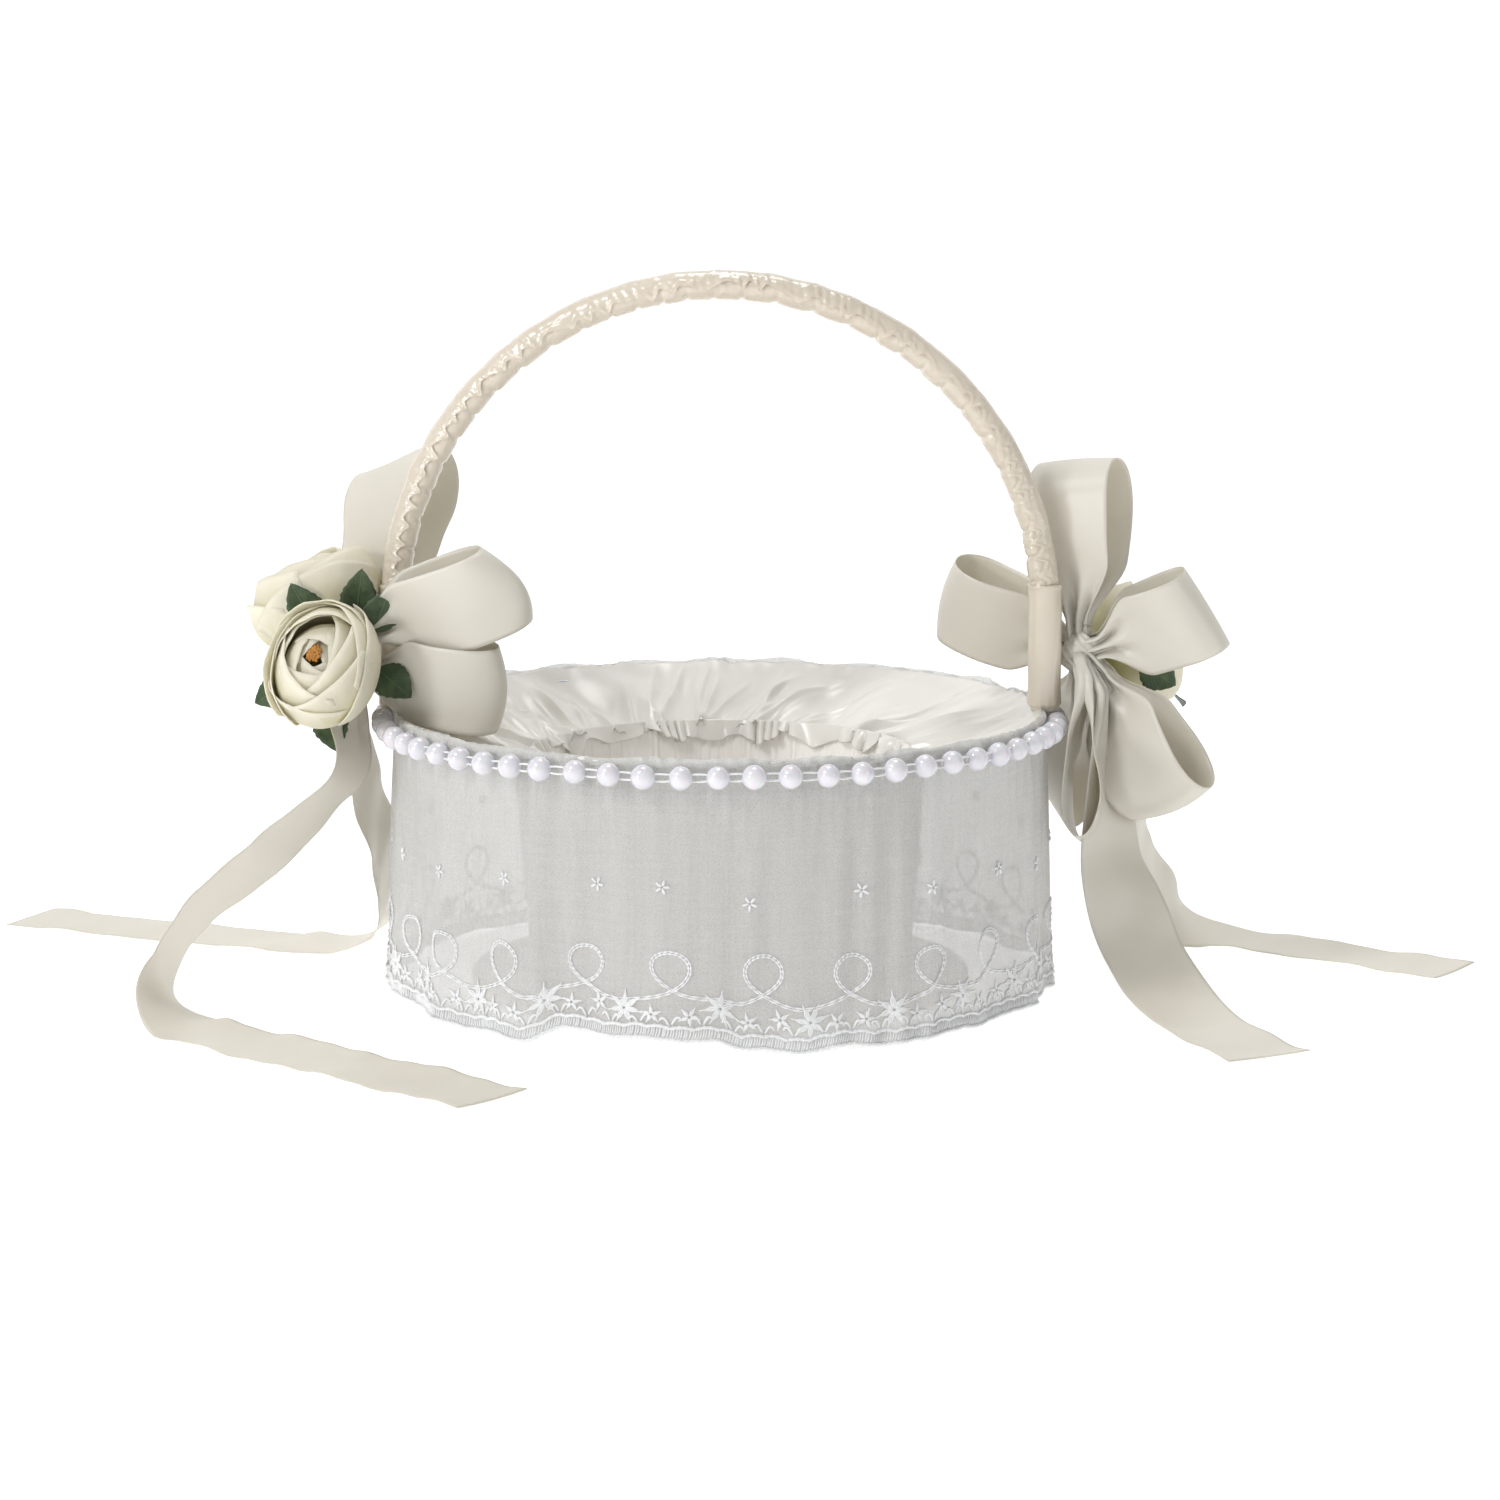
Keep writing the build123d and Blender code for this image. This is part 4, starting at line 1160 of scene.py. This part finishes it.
def stamens(name, node, axes, centre, size, seed):
    """The orange heart: a tight clump of stubby anthers."""
    rng = np.random.default_rng(seed)
    places, radii = [], []
    count, golden_angle = 34, 2.39996
    for k in range(count):
        a, r = k * golden_angle, 0.135 * size * math.sqrt(k / count)
        rise = size * (0.60 - 0.06 * (k / count)) + rng.normal(0, 0.12)
        local = np.array([r * math.cos(a), r * math.sin(a), rise])
        places.append(local @ axes + centre)
        radii.append(rng.uniform(0.42, 0.6))
    piece = balls_object(name, places, radii, "stamen", corners=8, rings=5)
    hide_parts(node)


ROSES = {
    "left_front_rose": ((-110.5, -29, 95.5), (-0.22, -0.78, 0.56), 15.7),
    "left_back_rose": ((-115.5, 1, 110.5), (-0.45, 0.15, 0.88), 16.0),
    "right_upper_rose": ((121, 30, 92), (0.75, 0.45, 0.35), 15.2),
    "right_lower_rose": ((119, 44, 65), (0.55, 0.80, -0.10), 14.2),
}
for number, (rose_name, (rose_centre, rose_facing, rose_size)) in enumerate(ROSES.items()):
    rose_axes = rose(rose_name, [rose_name + "_petals", rose_name + "_bud"], np.array(rose_centre, float),
                     rose_facing, rose_size, 100 + number)
    stamens(rose_name + "_stamens", rose_name + "_centre", rose_axes, np.array(rose_centre, float),
            rose_size, 110 + number)


# stalk end, tip, direction the blade faces
LEAVES = {
    "left_leaves": [
        ((-114, -11, 105), (-120, -18, 116), (-0.2, -0.9, 0.3)),
        ((-103, -12, 107), (-100.5, -20, 120), (0.1, -0.9, 0.3)),
        ((-98, -17, 104), (-92.5, -23, 115), (0.3, -0.9, 0.2)),
        ((-97, -16, 93), (-88, -22, 87), (0.2, -0.9, 0.2)),
        ((-119, -16, 90), (-130, -21, 85), (-0.3, -0.9, 0.1)),
        ((-111, -15, 82), (-109, -21, 72), (0.0, -0.9, -0.3))],
    "right_leaves": [
        ((106, 17, 106), (104, 15, 120), (-0.3, -0.9, 0.2)),
        ((119, 7, 100), (124, 4, 110), (0.3, -0.9, 0.2)),
        ((122, 11, 91), (131, 9, 85), (0.4, -0.9, -0.2)),
        ((128, 24, 106), (136, 26, 112), (0.5, -0.6, 0.6)),
        ((131, 42, 80), (139, 49, 74), (0.7, 0.5, -0.3))],
}
LEAF_HALF_WIDTH = 4.9


def leaves(name, node, blades, seed):
    """Rose leaves with a folded midrib, toothed edge and drooping tip."""
    rng = np.random.default_rng(seed)
    rows, columns = 25, 11
    t = column(rows)
    u = np.linspace(-1, 1, columns)[None]
    uv = stacked(u, t).reshape(-1, 2)
    patches = []
    for base, tip, face in blades:
        base, tip = np.array(base, float), np.array(tip, float)
        out = unit(tip - base)
        length = np.linalg.norm(tip - base) * 1.08
        normal = unit(np.array(face) - out * np.dot(face, out))
        side = np.cross(normal, out)
        half = LEAF_HALF_WIDTH * np.sin(math.pi * t ** 0.85) ** 0.8
        teeth = 0.45 * np.abs(np.sin(t * math.pi * 7)) * np.abs(u) ** 4
        width = half * u * (1 + teeth * 0.25)
        lift = 1.1 * np.abs(u) * half / LEAF_HALF_WIDTH - 1.8 * t ** 2
        lift = lift + 0.3 * np.sin(9 * t + rng.uniform(0, 6)) * u
        local = (base + out * (length * t)[..., None] + side * width[..., None] + normal * lift[..., None])
        patches.append((local.reshape(-1, 3), uv))
    piece = patches_object(name, patches, rows, columns, "leaf_silk")
    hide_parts(node)


leaves("left_leaf_blades", "left_leaves", LEAVES["left_leaves"], 121)
leaves("right_leaf_blades", "right_leaves", LEAVES["right_leaves"], 122)


# ---- camera, floor and light ----
CAMERA_AT = (8.6 * MM, -1.100, 0.253)
CAMERA_DOWN = 9.59               # degrees below the horizon
CAMERA_LENS = 92.9
CAMERA_SENSOR = 36.0
BACKDROP_GLOW = 0.62
WORLD_LIGHT = 0.31
LIGHTS_AIM = (0, 0, 0.09)
# name: place, diameter, power
LIGHTS = {
    "key": ((-0.9, -0.8, 1.2), 0.42, 9),
    "low_left": ((-0.95, -0.85, 0.34), 0.22, 3.6),
    "fill": ((1.3, -0.9, 0.45), 0.5, 1.8),
    "top": ((0.05, 0.25, 1.4), 0.6, 6),
}

camera_data = bpy.data.cameras.new("camera")
camera_data.sensor_width = CAMERA_SENSOR
camera_data.lens = CAMERA_LENS
camera_data.clip_end = 20.0
camera = bpy.data.objects.new("camera", camera_data)
camera.location = CAMERA_AT
camera.rotation_euler = (math.radians(90 - CAMERA_DOWN), 0, 0)
bpy.context.scene.collection.objects.link(camera)
bpy.context.scene.camera = camera


def backdrop():
    """A white floor that sweeps up into a wall behind the basket."""
    width, near, far, bend, top = 6.0, -4.0, 3.0, 1.2, 5.0
    profile = [(near, 0.0), (far - bend, 0.0)]
    steps = 12
    for k in range(1, steps + 1):
        a = k / steps * math.pi / 2
        profile.append((far - bend + bend * math.sin(a), bend - bend * math.cos(a)))
    profile.append((far, top))
    points = [(x, y, z) for y, z in profile for x in (-width, width)]
    mesh = bpy.data.meshes.new("backdrop")
    mesh.from_pydata(points, [], grid_faces(len(profile), 2))
    mesh.polygons.foreach_set("use_smooth", [True] * len(mesh.polygons))
    n = Nodes("backdrop")
    paper = n.principled({"Base Color": (0.80, 0.80, 0.80, 1), "Roughness": 0.9,
                          "Emission Color": (1, 1, 1, 1), "Emission Strength": BACKDROP_GLOW})
    mesh.materials.append(n.surface(paper))
    piece = bpy.data.objects.new("backdrop", mesh)
    bpy.context.scene.collection.objects.link(piece)


def area_light(name, place, size, power):
    """A round lamp aimed at the basket."""
    data = bpy.data.lights.new(name, "AREA")
    data.shape = "DISK"
    data.size = size
    data.energy = power
    light = bpy.data.objects.new(name, data)
    light.location = place
    light.rotation_euler = (Vector(LIGHTS_AIM) - Vector(place)).to_track_quat("-Z", "Y").to_euler()
    bpy.context.scene.collection.objects.link(light)


def studio():
    """Even white surroundings and four soft lamps."""
    world = bpy.data.worlds.new("studio")
    world.use_nodes = True
    background = world.node_tree.nodes["Background"]
    background.inputs["Color"].default_value = (1.0, 1.0, 1.0, 1)
    background.inputs["Strength"].default_value = WORLD_LIGHT
    bpy.context.scene.world = world
    for name, placing in LIGHTS.items():
        area_light(name, *placing)
    bpy.context.scene.view_settings.view_transform = "Standard"


backdrop()
studio()
